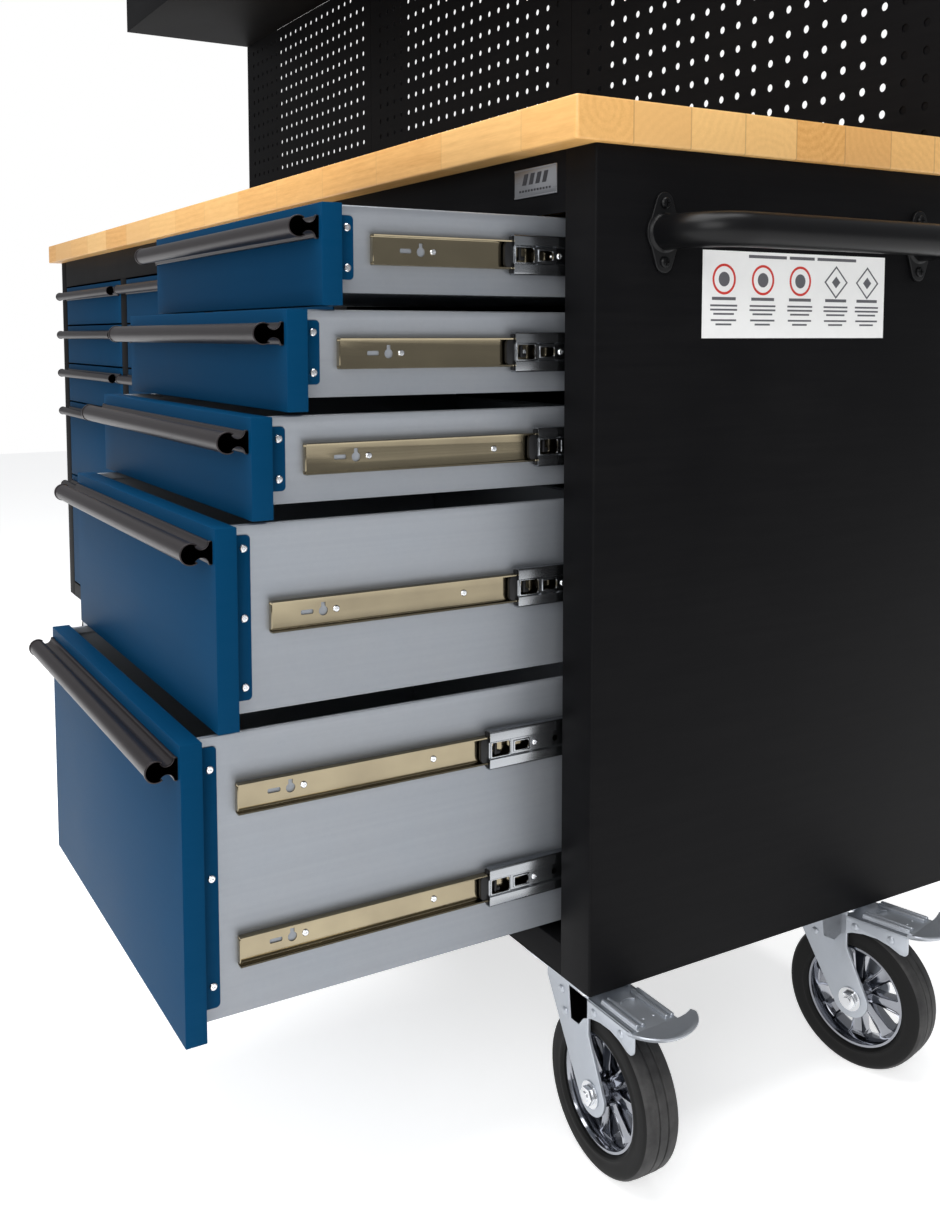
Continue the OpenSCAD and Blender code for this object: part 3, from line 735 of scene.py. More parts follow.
@dataclass
class Slide:
    """The drawer and middle members of one telescopic slide, for the right side of a drawer.

    Made with x = 0 on the box's side, x outwards, y = 0 at the closed front end, z = 0 at mid height.
    """

    sizes: DrawerSizes
    inner_h: float = 26.8 * MM
    middle_h: float = 36.7 * MM
    middle_web: float = 10.7 * MM

    def drawer_member(self) -> Mesh:
        """Shallow bright channel with its slot, keyhole and screws."""
        t = 1.2 * MM
        length = self.sizes.slide_l
        body = extruded(channel_outline(8.5 * MM, self.inner_h, t), length, along_y((0, 0, 0)))
        mouth = slab(mm(-1, 28, -2.2), mm(2, 40, 2.2))
        soften(mouth, 2 * MM, 4)
        drop = rod(mm(-1, 49, -0.5), mm(2, 49, -0.5), 4.2 * MM)
        tip = slab(mm(-1, 47, 0), mm(2, 51, 7))
        hole = rod(mm(-1, 330, 0), mm(2, 330, 0), 3 * MM)
        cut(body, mouth, drop, tip, hole)
        end = soften(slab((1.0 * MM, -0.2 * MM, -self.inner_h / 2 + 3 * MM),
                          (6.0 * MM, 1.0 * MM, self.inner_h / 2 - 3 * MM)), 0.5 * MM)
        painted(join(body, end), Skin.RUNNER)
        screws = [copy_of(self.screw, facing((t, y * MM, 0), (1, 0, 0))) for y in (61, 188, 352)]
        return join(body, *screws)

    def middle_member(self) -> Mesh:
        """Middle channel: sunk web with its windows, retainer and lever."""
        t = 1.2 * MM
        band = 9.8 * MM
        flip = Matrix.Translation((self.middle_web, 0, 0)) @ MIRROR_X
        body = extruded(stepped_outline(8.2 * MM, self.middle_h, t, 2.4 * MM, band), self.sizes.slide_l,
                        flip @ along_y((0, 0, 0)))
        lo, hi = 5 * MM, 11 * MM
        windows = [soften(slab((lo, 2.5 * MM, -7 * MM), (hi, 23 * MM, 7 * MM)), 3.5 * MM, 4),
                   soften(slab((lo, 28 * MM, -4.5 * MM), (hi, 44 * MM, 4.5 * MM)), 3.5 * MM, 4),
                   rod((lo, 74 * MM, 0), (hi, 74 * MM, 0), 3 * MM),
                   rod((lo, 210 * MM, 0), (hi, 210 * MM, 0), 4 * MM)]
        cut(body, *windows)
        painted(body, Skin.RAIL)
        return join(body, self.retainer(), *self.rims())

    def rims(self) -> list[Mesh]:
        """Raised rims of the two windows, and the stop rivet past them."""
        x = self.middle_web - 2.4 * MM
        made = []
        for y0, y1, half in ((1.6, 24, 8), (27, 45, 5.6)):
            ring = slab((x - 0.2 * MM, y0 * MM, -half * MM), (x + 0.9 * MM, y1 * MM, half * MM))
            soften(ring, 2.5 * MM, 3)
            inside = slab((x - 1 * MM, (y0 + 1.1) * MM, -(half - 1.1) * MM),
                          (x + 2 * MM, (y1 - 1.1) * MM, (half - 1.1) * MM))
            made.append(painted(cut(ring, soften(inside, 2 * MM, 3)), Skin.RAIL))
        made.append(copy_of(self.screw, facing((x, 51 * MM, 0), (1, 0, 0))))
        return made

    def retainer(self) -> Mesh:
        """Black plastic ball retainer at the front end, with its paddle and lever."""
        half = self.middle_h / 2
        tall = half - 1.5 * MM
        shoe = soften(slab((1.6 * MM, -1 * MM, -tall), (7.2 * MM, 4 * MM, tall)), 1.2 * MM)
        flank = [mm(0, -13), *arc(-2 * MM, -7 * MM, 6 * MM, -90, -180, 6),
                 *arc(-2 * MM, 7 * MM, 6 * MM, 180, 90, 6), mm(0, 13)]
        nose = soften(extruded(flank, 4.4 * MM, along_x(mm(3, 0, 0))), 0.9 * MM)
        lever = soften(slab(mm(4.6, 6, -5), mm(9.0, 9, 6.5)), 1.2 * MM)
        hook = soften(slab(mm(4.6, 6, -5), mm(8.2, 13, -1)), 1.2 * MM)
        return painted(join(shoe, nose, lever, hook), Skin.PLASTIC)

    @property
    def screw(self) -> Mesh:
        """The small screw that is copied along the slides."""
        return Stock.get("slide screw", lambda: pan_screw(3.0 * MM, 1.5 * MM))


class Stock:
    """Shapes that are modelled once and copied; they are removed before the end."""

    shelf: dict[str, Mesh] = {}

    @classmethod
    def get(cls, name: str, make: Callable[[], Mesh]) -> Mesh:
        """Returns a stocked shape, making it the first time."""
        if name not in cls.shelf:
            cls.shelf[name] = make()
        return cls.shelf[name]

    @classmethod
    def clear(cls) -> None:
        """Removes every stocked shape."""
        for obj in cls.shelf.values():
            bpy.data.objects.remove(obj)
        cls.shelf.clear()


@dataclass
class DrawerPattern:
    """One height of drawer, modelled at its front's lower left corner and copied to each place."""

    sizes: DrawerSizes
    height: float
    screw_edge: float
    parts: dict[str, Mesh] = field(default_factory=dict)

    def build(self) -> "DrawerPattern":
        """Models the front, the box, the drawer slides and the pull."""
        self.parts = {part: getattr(self, part)() for part in PART_SLOTS}
        return self

    def front(self) -> Mesh:
        """Folded front, hollow behind, with the tabs that lap the box."""
        s = self.sizes
        shell = folded_shell((0, 0, 0), (s.width, s.face_t, self.height), s.sheet_t)
        low, high = 22 * MM, self.height - 9 * MM
        outline = [(0, 0), mm(12, 0), *arc(12 * MM, 3.5 * MM, 3.5 * MM, -90, 0, 4),
                   *arc(12 * MM, high - low - 3.5 * MM, 3.5 * MM, 0, 90, 4), (0, high - low)]
        place = along_x((s.width - s.slide_room, s.face_t, low))
        tab = soften(extruded(outline, s.sheet_t, place), 0.3 * MM)
        painted(join(shell, tab, copy_of(tab, self.flip)), Skin.FRONT)
        count = 2 if self.height < 0.1 else 3
        step = (high - low - 2 * self.screw_edge) / (count - 1)
        seat = s.width - s.slide_room + s.sheet_t
        spots = [(seat, 28 * MM, low + self.screw_edge + i * step) for i in range(count)]
        screw = Stock.get("tab screw", lambda: pan_screw(3.3 * MM, 1.6 * MM))
        right = [copy_of(screw, facing(spot, (1, 0, 0))) for spot in spots]
        return join(shell, *right, *[copy_of(one, self.flip) for one in right])

    @property
    def flip(self) -> Matrix:
        """Mirrors the drawer's right side to its left."""
        return Matrix.Translation((self.sizes.width, 0, 0)) @ MIRROR_X

    def box(self) -> Mesh:
        """Box of folded sheets with rolled upper edges."""
        s = self.sizes
        h = self.height - s.box_lift
        t = s.sheet_t
        outer = s.width - s.slide_room
        # Side section, x inwards from the outer face: a joggle, then the hem rolled over and down
        side = [(0, 0), (0, h - 9 * MM), (-0.5 * MM, h - 8 * MM), (-0.5 * MM, h - 1.2 * MM),
                *arc(1.7 * MM, h - 2.2 * MM, 2.2 * MM, 170, 10, 8), (4.4 * MM, h - 7 * MM),
                (3.4 * MM, h - 7 * MM), (2.9 * MM, h - 3.2 * MM), (1.4 * MM, h - 2.4 * MM),
                (0.7 * MM, h - 7.5 * MM), (t, h - 9 * MM), (t, 0)]
        place = Matrix.Translation((outer, s.face_t + s.seam, s.box_lift)) @ MIRROR_X @ along_y((0, 0, 0))
        wall = extruded(side, s.box_l, place)
        front_y, back_y = s.face_t + s.seam, s.face_t + s.seam + s.box_l
        left, right = s.width - outer + t, outer - t
        floor = soften(slab((left, front_y, s.box_lift), (right, back_y, s.box_lift + t)), 0.3 * MM)
        low = s.box_lift + t
        upright = [slab((left + 1 * MM, y, low), (right - 1 * MM, y_end, self.height - gap * MM))
                   for y, y_end, gap in ((back_y - t, back_y, 12), (front_y, front_y + t, 7))]
        back, inner = (soften(sheet, 0.5 * MM) for sheet in upright)
        bead_y, bead_z = back_y - t, self.height - 14 * MM
        bead = rod((left + 8 * MM, bead_y, bead_z), (right - 8 * MM, bead_y, bead_z), 1.6 * MM, 12)
        return painted(join(wall, copy_of(wall, self.flip), floor, back, inner, bead), Skin.BOX)

    def runners(self) -> Mesh:
        """Drawer members of the slides on both sides."""
        s = self.sizes
        member = Stock.get("drawer member", Slide(s).drawer_member)
        right = [copy_of(member, Matrix.Translation((s.width - s.slide_room + s.seam, s.slide_back, z)))
                 for z in s.slide_heights(self.height)]
        return join(*right, *[copy_of(one, self.flip) for one in right])

    def pull(self) -> Mesh:
        """Grooved full-width pull with a cap at each end."""
        pull = Stock.get("pull", lambda: Pull(self.sizes.width - 12 * MM).build())
        return copy_of(pull, Matrix.Translation((6 * MM, 0, self.height - 20.2 * MM)))


@dataclass
class Pull:
    """Extruded bar pull along +X, its back on y = 0 and its middle on z = 0."""

    length: float
    height: float = 18.4 * MM
    reach: float = 18 * MM
    grip_r: float = 8.6 * MM
    cap_t: float = 3 * MM
    grow: float = 0.8 * MM

    def outline(self, grow: float = 0.0) -> list[Point]:
        """Half of the bar's section mirrored: plate edge, hollow, round grip; y forwards, z up."""
        half = self.height / 2 + grow
        hollow_r = 5.9 * MM
        hollow_y = -3.4 * MM - hollow_r
        web = 3.4 * MM + grow
        upper = [(0, half - 0.8 * MM), (-0.8 * MM, half), (-2.6 * MM, half), (-3.3 * MM, half - 0.5 * MM),
                 *arc(hollow_y, web + hollow_r - grow, hollow_r, -8, -148, 12),
                 *arc(-self.reach, 0, self.grip_r + grow, 52, 180, 16)]
        return [*upper, *[(y, -z) for y, z in reversed(upper[:-1])]]

    def build(self) -> Mesh:
        """Models the bar and its caps."""
        bar = soften(extruded(self.outline(), self.length, along_x((0, 0, 0))), 0.25 * MM, 1)
        painted(bar, Skin.PULL)
        cap = soften(extruded(self.outline(self.grow), self.cap_t, along_x((0, 0, 0))), 0.9 * MM, 3)
        painted(cap, Skin.PULL)
        far = copy_of(cap, Matrix.Translation((self.length - self.cap_t, 0, 0)))
        return join(bar, cap, far)


@dataclass
class Drawer:
    """One drawer in its place."""

    pattern: DrawerPattern
    corner: Vector
    body: str
    replaces: dict[str, tuple[str, ...]]

    def dress(self) -> None:
        """Copies the pattern's parts to the drawer's place."""
        for part, slot in PART_SLOTS.items():
            piece = copy_of(self.pattern.parts[part], Matrix.Translation(self.corner))
            hand_over(piece, f"{self.body}.{part}", self.body, slot, self.replaces.get(part, ()))


@dataclass
class Drawers:
    """All twenty drawers and the middle slide members of the open bank."""

    banks: int = 4
    rows: int = 5

    def dress(self) -> None:
        """Builds a pattern for each row and places it in every bank."""
        low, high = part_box("drawer_front_1")
        sizes = DrawerSizes(high.x - low.x)
        reach = low.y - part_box("drawer_handle_1")[0].y
        patterns: dict[float, DrawerPattern] = {}
        for row in range(1, self.rows + 1):
            corner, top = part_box(f"drawer_front_{row}")
            height = round(top.z - corner.z, 5)
            edge = (19 if height > 0.2 else 11 if height > 0.1 else 10) * MM
            if height not in patterns:
                patterns[height] = DrawerPattern(sizes, height, edge).build()
            nodes = {"front": (f"drawer_front_{row}",), "box": (f"drawer_box_{row}",),
                     "pull": (f"drawer_handle_{row}",)}
            Drawer(patterns[height], corner, f"drawer_{row}", nodes).dress()
            self.middle_members(sizes, row, corner, height)
            for bank in range(1, self.banks):
                node = f"closed_drawer_{bank}_{row}"
                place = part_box(node)[0] + Vector((0, reach, 0))
                Drawer(patterns[height], place, node, {"front": (node,)}).dress()
        for pattern in patterns.values():
            for part in pattern.parts.values():
                bpy.data.objects.remove(part)

    def middle_members(self, sizes: DrawerSizes, row: int, corner: Vector, height: float) -> None:
        """Places the middle members of one open drawer, where the CAD has them."""
        node = f"slide_middle_{row}"
        member = Stock.get("middle member", Slide(sizes).middle_member)
        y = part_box(node)[0].y
        x = corner.x + sizes.width - sizes.slide_room + sizes.seam
        right = [copy_of(member, Matrix.Translation((x, y, corner.z + z)))
                 for z in sizes.slide_heights(height)]
        flip = Matrix.Translation((2 * corner.x + sizes.width, 0, 0)) @ MIRROR_X
        both = join(*right, *[copy_of(one, flip) for one in right])
        hand_over(both, f"slide_{row}.middle", f"slide_{row}", "zinc_steel", (node,))


# ---------------------------------------------------------- body, top and trim


@dataclass
class Cabinet:
    """Cabinet body: end panels, rails, floor, back, slides, plate and label."""

    def dress(self) -> None:
        """Models every fixed sheet of the body."""
        self.end_panels()
        for node, width in (("drawer_frame", 0.5), ("base_pan", 0.6), ("back_panel", 0.6)):
            hand_over(from_node(node, width * MM), f"{node}.skin", "bench", "black_steel", (node,), Skin.BODY)
        hand_over(from_node("cabinet_slides", 0.4 * MM, 1), "cabinet_slides.skin", "bench", "zinc_steel",
                  ("cabinet_slides",), Skin.RAIL)
        self.nameplate()
        self.end_label()

    def end_panels(self) -> None:
        """Folded end panels with round corners and a seam where the post is folded."""
        lo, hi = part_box("side_panels")
        depth, height = hi.y - lo.y, hi.z - lo.z
        t, post, r = 1.5 * MM, 47 * MM, 2.6 * MM
        outline = [(post, t), (post, 0), *arc(r, r, r, 270, 180, 6), (0, depth), (t, depth),
                   *arc(r, r, r - t, 180, 270, 6)]
        skin = extruded(outline, height, Matrix.Translation(lo))
        for z in (lo.z, hi.z - t):
            skin = join(skin, slab((lo.x + t, lo.y + t, z), (lo.x + post, hi.y - t, z + t)))
        left = soften(skin, 0.5 * MM, 2, 60)
        right = copy_of(left, Matrix.Translation((lo.x + hi.x, 0, 0)) @ MIRROR_X)
        hand_over(join(left, right), "side_panels.skin", "bench", "black_steel", ("side_panels",), Skin.BODY)

    def nameplate(self) -> None:
        """Brushed plate with two raised edges, slanted bars and a row of dashes."""
        lo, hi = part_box("nameplate")
        plate = painted(soften(slab(lo, hi), 0.6 * MM, 2), Skin.PLATE)
        front, back = lo.y - 0.3 * MM, lo.y + 0.2 * MM
        marks: list[Mesh] = []
        for i in range(4):
            x, low, high = lo.x + (14 + 11.5 * i) * MM, lo.z + 12 * MM, hi.z - 5 * MM
            slant, wide = 4 * MM, 6.5 * MM
            outline = [(x, low), (x + wide, low), (x + wide + slant, high), (x + slant, high)]
            marks.append(extruded(outline, back - front, along_y((0, front, 0))))
        for i in range(11):
            x = lo.x + (9 + 5.1 * i) * MM
            marks.append(slab((x, front, lo.z + 5.5 * MM), (x + 2.8 * MM, back, lo.z + 7.5 * MM)))
        for low, high in ((Vector((lo.x, front, lo.z)), Vector((hi.x, back, lo.z + 1.6 * MM))),
                          (Vector((lo.x, front, hi.z - 1.6 * MM)), Vector((hi.x, back, hi.z)))):
            plate = join(plate, painted(soften(slab(low, high), 0.3 * MM), Skin.PLATE))
        for mark in marks:
            painted(mark, Skin.PLATE_DARK)
        hand_over(join(plate, *marks), "nameplate.plate", "bench", "brushed_plate", ("nameplate",))

    def end_label(self) -> None:
        """Plain film label on the right end: rings, diamonds and grey bars, with no words."""
        lo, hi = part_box("side_panels")
        x, y0, z0 = hi.x, lo.y + 124.8 * MM, lo.z + 616.7 * MM
        w, h = 247.6 * MM, 83.3 * MM
        film = painted(slab((x, y0, z0), (x + 0.25 * MM, y0 + w, z0 + h)), Skin.PAPER)
        marks: list[Mesh] = []

        def bar(start: float, end: float, z: float, tall: float) -> None:
            """Prints one bar between two distances along the film."""
            block = slab((x, start, z), (x + 0.32 * MM, end, z + tall))
            marks.append(painted(block, Skin.PRINT))

        for i, centre in enumerate((27, 77, 127, 177, 222)):
            spot = Matrix.Translation((x, y0 + centre * MM, z0 + h - 27 * MM))
            marks.extend(self.sign(spot, (12.3, 14.7, 7), (40, 24), Skin.PRINT_RED) if i < 3
                         else self.sign(spot, (14.2, 16.6, 6), (4, 4), Skin.PRINT))
            for line, (half, drop) in enumerate(((15, 45), (17, 51), (17, 55), (13, 59), (16, 65), (10, 69))):
                middle = y0 + centre * MM
                tall = (3.0 if line == 0 else 1.8) * MM
                bar(middle - half * MM, middle + half * MM, z0 + h - (drop + 2) * MM, tall)
        for start, end in ((58, 108), (112, 146), (150, 205)):
            bar(y0 + start * MM, y0 + end * MM, z0 + h - 6 * MM, 3 * MM)
        hand_over(join(film, *marks), "end_label", "bench", "brushed_plate")

    def sign(self, spot: Matrix, radii: Sequence[float], sides: Sequence[int], skin: Skin) -> list[Mesh]:
        """A plain outlined ring, or a diamond where it has four sides, with a dot inside.

        Args:
            spot: its middle.
            radii: of the outline's inside and outside and of the dot.
            sides: of the outline and of the dot.
            skin: the outline's finish.

        Returns:
            The outline and the dot.
        """
        face = spot @ Matrix.Rotation(math.radians(90), 4, "Y")
        inner, outer, dot = mm(*radii)
        t = 0.32 * MM
        band = turned([(inner, 0), (outer, 0), (outer, t), (inner, t)], sides[0], face)
        middle = turned([(0, 0), (dot, 0), (dot, t), (0, t)], sides[1], face)
        return [painted(band, skin), painted(middle, Skin.PRINT)]


@dataclass
class Top:
    """Butcher-block worktop."""

    def dress(self) -> None:
        """Rounds the slab's edges and gives it its staves."""
        hand_over(from_node("worktop", 2.2 * MM, 3, 40), "worktop.block", "bench", "rubberwood", ("worktop",),
                  Skin.WOOD)


@dataclass
class PushHandle:
    """Tube handle on the right end, between two lobed flanges."""

    radius: float = 16 * MM
    bend: float = 46 * MM
    flange_t: float = 4 * MM

    def dress(self) -> None:
        """Sweeps the tube and adds the flanges and their screws."""
        lo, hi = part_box("push_handle")
        z = (lo.z + hi.z) / 2
        span = 345 * MM
        y0 = (lo.y + hi.y - span) / 2
        out = hi.x - self.radius
        tube = self.tube(Vector((lo.x, y0, z)), out, span)
        ends = [self.flange(Vector((lo.x, y, z))) for y in (y0, y0 + span)]
        painted(join(tube, *ends), Skin.TUBE)
        screw = Stock.get("flange screw", lambda: pan_screw(5.2 * MM, 3.2 * MM))
        screws = [copy_of(screw, facing((lo.x + self.flange_t, y, z + s * 27 * MM), (1, 0, 0)))
                  for y in (y0, y0 + span) for s in (-1, 1)]
        for one in screws:
            painted(one, Skin.TUBE)
        hand_over(join(tube, *screws), "push_handle.tube", "bench", "black_steel", ("push_handle",))

    def tube(self, start: Vector, out: float, span: float) -> Mesh:
        """Sweeps a ring along straight, bend, straight, bend, straight."""
        obj = baked(primitive("circle", vertices=40, radius=self.radius, fill_type="NGON",
                              location=start, rotation=(0, math.radians(90), 0)))
        bend_x = out - self.bend
        with editing(obj, "EDGE"):
            bpy.ops.mesh.select_all(action="SELECT")
            push(bend_x - start.x, 0, 0)
            self.elbow((bend_x, start.y + self.bend, start.z))
            push(0, span - 2 * self.bend, 0)
            self.elbow((bend_x, start.y + span - self.bend, start.z))
            push(start.x - bend_x, 0, 0)
            weld()
        return obj

    @staticmethod
    def elbow(centre: Sequence[float]) -> None:
        """Sweeps the open end a quarter turn about an upright axis."""
        bpy.ops.mesh.spin(steps=14, angle=math.radians(90), center=centre, axis=(0, 0, -1))

    def flange(self, spot: Vector) -> Mesh:
        """One pressed flange: a round middle with two lobes, and a weld fillet round the tube."""
        lobe, round_r, off = 10 * MM, 20 * MM, 27 * MM
        outline = [*arc(0, off, lobe, 20, 160, 10), *arc(0, 0, round_r, 140, 220, 10),
                   *arc(0, -off, lobe, 200, 340, 10), *arc(0, 0, round_r, -40, 40, 10)]
        plate = soften(extruded(outline, self.flange_t, along_x(spot)), 1.2 * MM, 3)
        fillet = [(self.radius - 1 * MM, self.flange_t), (self.radius + 2.6 * MM, self.flange_t),
                  (self.radius + 1.0 * MM, self.flange_t + 0.9 * MM), (self.radius, self.flange_t + 2.6 * MM),
                  (self.radius - 1 * MM, self.flange_t + 2.6 * MM)]
        return join(plate, turned(fillet, 40, facing(spot, (1, 0, 0))))


@dataclass
class Wall:
    """Pegboard, its uprights, and the overhead cabinets with their doors."""

    modules: int = 3

    def dress(self) -> None:
        """Dresses the upper part."""
        board = frame["nodes"]["pegboard_panels"]
        board.data.materials.clear()
        board.data.materials.append(Skin.BODY.material())
        for node, width in (("pegboard_uprights", 1.6), ("overhead_cases", 0.5)):
            skin = from_node(node, width * MM, 2, 40)
            hand_over(skin, f"{node}.skin", "bench", "black_steel", (node,), Skin.BODY)
        for m in range(1, self.modules + 1):
            self.door(f"overhead_door_{m}")

    def door(self, node: str) -> None:
        """Flip-up door: folded blue sheet, hollow behind, with a pull along its lower edge."""
        lo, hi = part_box(node)
        reach = 26.6 * MM
        shell = folded_shell((lo.x, lo.y + reach, lo.z), hi, 1.2 * MM)
        hand_over(shell, f"{node}.front", node, "blue_steel", (node,), Skin.FRONT)
        pull = Pull(hi.x - lo.x - 12 * MM).build()
        baked(pull, Matrix.Translation((lo.x + 6 * MM, lo.y + reach, lo.z + 20.2 * MM)))
        hand_over(pull, f"{node}.pull", node, "dark_bronze")


# --------------------------------------------------------------------- casters


@dataclass
class Caster:
    """Shapes of one caster: x is the trailing way, z = 0 the mounting face."""

    lean: float
    axle_z: float = -114 * MM
    leg_gap: float = 45 * MM
    leg_t: float = 4 * MM
    crown_z: float = -19 * MM

    def fork(self) -> Mesh:
        """Two pressed legs under a crown, with rivets, axle bolt and nut."""
        inner = self.leg_gap / 2
        leg = self.leg(inner)
        other = copy_of(leg, Matrix.Scale(-1, 4, (0, 1, 0)))
        outer = inner + self.leg_t
        crown = slab((-34 * MM, -outer, self.crown_z), (34 * MM, outer, self.crown_z + self.leg_t))
        soften(crown, 1.8 * MM, 3)
        pin = rod((self.lean, -outer, self.axle_z), (self.lean, outer, self.axle_z), 5 * MM)
        fork = painted(join(leg, other, crown, pin), Skin.CASTER)
        bolt = Stock.get("axle bolt", lambda: hex_bolt(9.6 * MM, 6.4 * MM))
        ends = [copy_of(bolt, facing((self.lean, s * outer, self.axle_z), (0, s, 0))) for s in (-1, 1)]
        return join(fork, *ends)

    def leg(self, inner: float) -> Mesh:
        """One leg on the -Y side: slanting outline, raised rib and boss."""
        boss, half = 21 * MM, 34 * MM
        tilt = math.degrees(math.atan2(self.lean, -self.axle_z))
        z0 = self.crown_z + 3 * MM
        right = half + self.lean * 0.06
        outline = [(-half, z0), (-half, self.crown_z - 8 * MM),
                   *arc(self.lean, self.axle_z, boss, 196 + tilt * 0.3, 358 + tilt * 0.5, 16),
                   (right, self.crown_z - 38 * MM), (right, z0)]
        place = Matrix.Translation((0, -inner - self.leg_t, 0)) @ along_y((0, 0, 0))
        plate = soften(extruded(outline, self.leg_t, place), 1.1 * MM, 3)
        rivets = [copy_of(Stock.get("rivet", lambda: dome(4.4 * MM, 2.2 * MM)),
                          facing((x * MM, -inner - self.leg_t, self.crown_z - z * MM), (0, -1, 0)))
                  for x, z in ((-8, 12), (-8 + self.lean / MM * 0.14, 32))]
        ridge = [(boss * 0.55, 0), (boss * 0.62, 0), (boss * 0.62, 1.2 * MM), (boss * 0.50, 1.2 * MM)]
        ring = turned(ridge, 36, facing((self.lean, -inner - self.leg_t + 0.2 * MM, self.axle_z), (0, -1, 0)))
        return join(plate, ring, *rivets)

    def cover(self) -> Mesh:
        """Brake cover: a roof with folded cheeks, riveted to the fork."""
        out = self.leg_gap / 2 + self.leg_t
        z = self.crown_z - 4 * MM
        roof = soften(slab((26 * MM, -out, z), (107 * MM, out, z + 3 * MM)), 0.9 * MM, 3)
        nose = [(102 + 5 * math.cos(a), -15 - 5 * math.sin(a)) for a in (0.4, 0.9, 1.4)]
        side = [(4, 3), (107, 3), (107, -15), *nose, (98, -19.5), (86, -14.5), (72, -11.5),
                (56, -12), (42, -15), (30, -21), (22, -31), (8, -31)]
        outline = [(x * MM, z + dz * MM) for x, dz in side]
        made = [roof]
        for s in (-1, 1):
            y = -out if s < 0 else out - 3 * MM
            made.append(soften(extruded(outline, 3 * MM, along_y((0, y, 0))), 0.8 * MM, 2))
            rivet = Stock.get("rivet", lambda: dome(4.4 * MM, 2.2 * MM))
            made.extend(copy_of(rivet, facing((x * MM, s * out, z - 7 * MM), (0, s, 0))) for x in (46, 88))
        return painted(join(*made), Skin.CASTER)

    def pedal(self) -> Mesh:
        """Ribbed brake pedal with its upturned crescent lip."""
        z = self.crown_z - 0.4 * MM
        t = 3 * MM
        tray = soften(slab((52 * MM, -23 * MM, z), (112 * MM, 23 * MM, z + t)), 0.9 * MM, 2)
        top = z + t + 3 * MM
        bars = [slab((52 * MM, (y - 2.2) * MM, z + 1 * MM), (107 * MM, (y + 2.2) * MM, top))
                for y in (-20.5, -14, 14, 20.5)]
        ribs = [soften(rib, 1.9 * MM, 4) for rib in bars]
        for y in (-6, 6):
            ribs.append(turned([(0, 0), mm(1.6, 0), mm(1.1, 0.8), mm(0, 1.1)], 14,
                               Matrix.Translation((96 * MM, y * MM, z + t))))
        bead = [*arc(0, 0, 11 * MM, 120, 240, 12), *arc(0, 0, 8.6 * MM, 240, 120, 12)]
        arch = extruded(bead, 2 * MM, Matrix.Translation((70 * MM, 0, z + t - 0.6 * MM)))
        ribs.append(soften(arch, 0.8 * MM))
        return painted(join(tray, *ribs, self.lip(z)), Skin.CASTER)

    def lip(self, z: float) -> Mesh:
        """The pedal's foot lip: a dished crescent, turned about an upright axis and trimmed."""
        r, half = 42 * MM, 38 * MM
        section = [(4, 0), (26, 0), (34, 1.2), (39, 4.2), (42, 8.2), (41.4, 9.2), (40.2, 8.8), (37.6, 6.2),
                   (33, 4.2), (26, 3), (4, 3)]
        centre = 103 * MM
        disc = turned([(a * MM, b * MM) for a, b in section], 72, Matrix.Translation((centre, 0, z)))
        big = 60 * MM
        trims = [slab((centre - big, -big, z - 5 * MM), (centre + r - 34 * MM, big, z + 20 * MM))]
        trims += [slab((centre - big, s * half if s > 0 else -big, z - 5 * MM),
                       (centre + big, big if s > 0 else -half, z + 20 * MM)) for s in (-1, 1)]
        return cut(disc, *trims)

    def plate(self, race: bool) -> Mesh:
        """Mounting plate with its four bolts, and the swivel race below it."""
        made = slab(mm(-52, -42, -5), mm(52, 42, 0))
        soften(made, 1.2 * MM, 3)
        painted(made, Skin.CASTER)
        bolt = Stock.get("plate bolt", lambda: hex_bolt(6.2 * MM, 5 * MM))
        bolts = [copy_of(bolt, facing((x * 42 * MM, y * 33 * MM, -5 * MM), (0, 0, -1)))
                 for x in (-1, 1) for y in (-1, 1)]
        if race:
            section = [(0, -4.9), (33, -4.9), (33.8, -6), (34, -8), (33, -9.2), (31.5, -9.6), (33, -10.2),
                       (34, -11.6), (33.6, -13.4), (32, -14), (0, -14)]
            ring = turned([(a * MM, b * MM) for a, b in section], 64)
        else:
            ring = slab((-34 * MM, -26.4 * MM, self.crown_z + 3 * MM), mm(34, 26.4, -4.9))
            soften(ring, 1.5 * MM, 2)
        painted(ring, Skin.CASTER)
        return join(made, ring, *bolts)


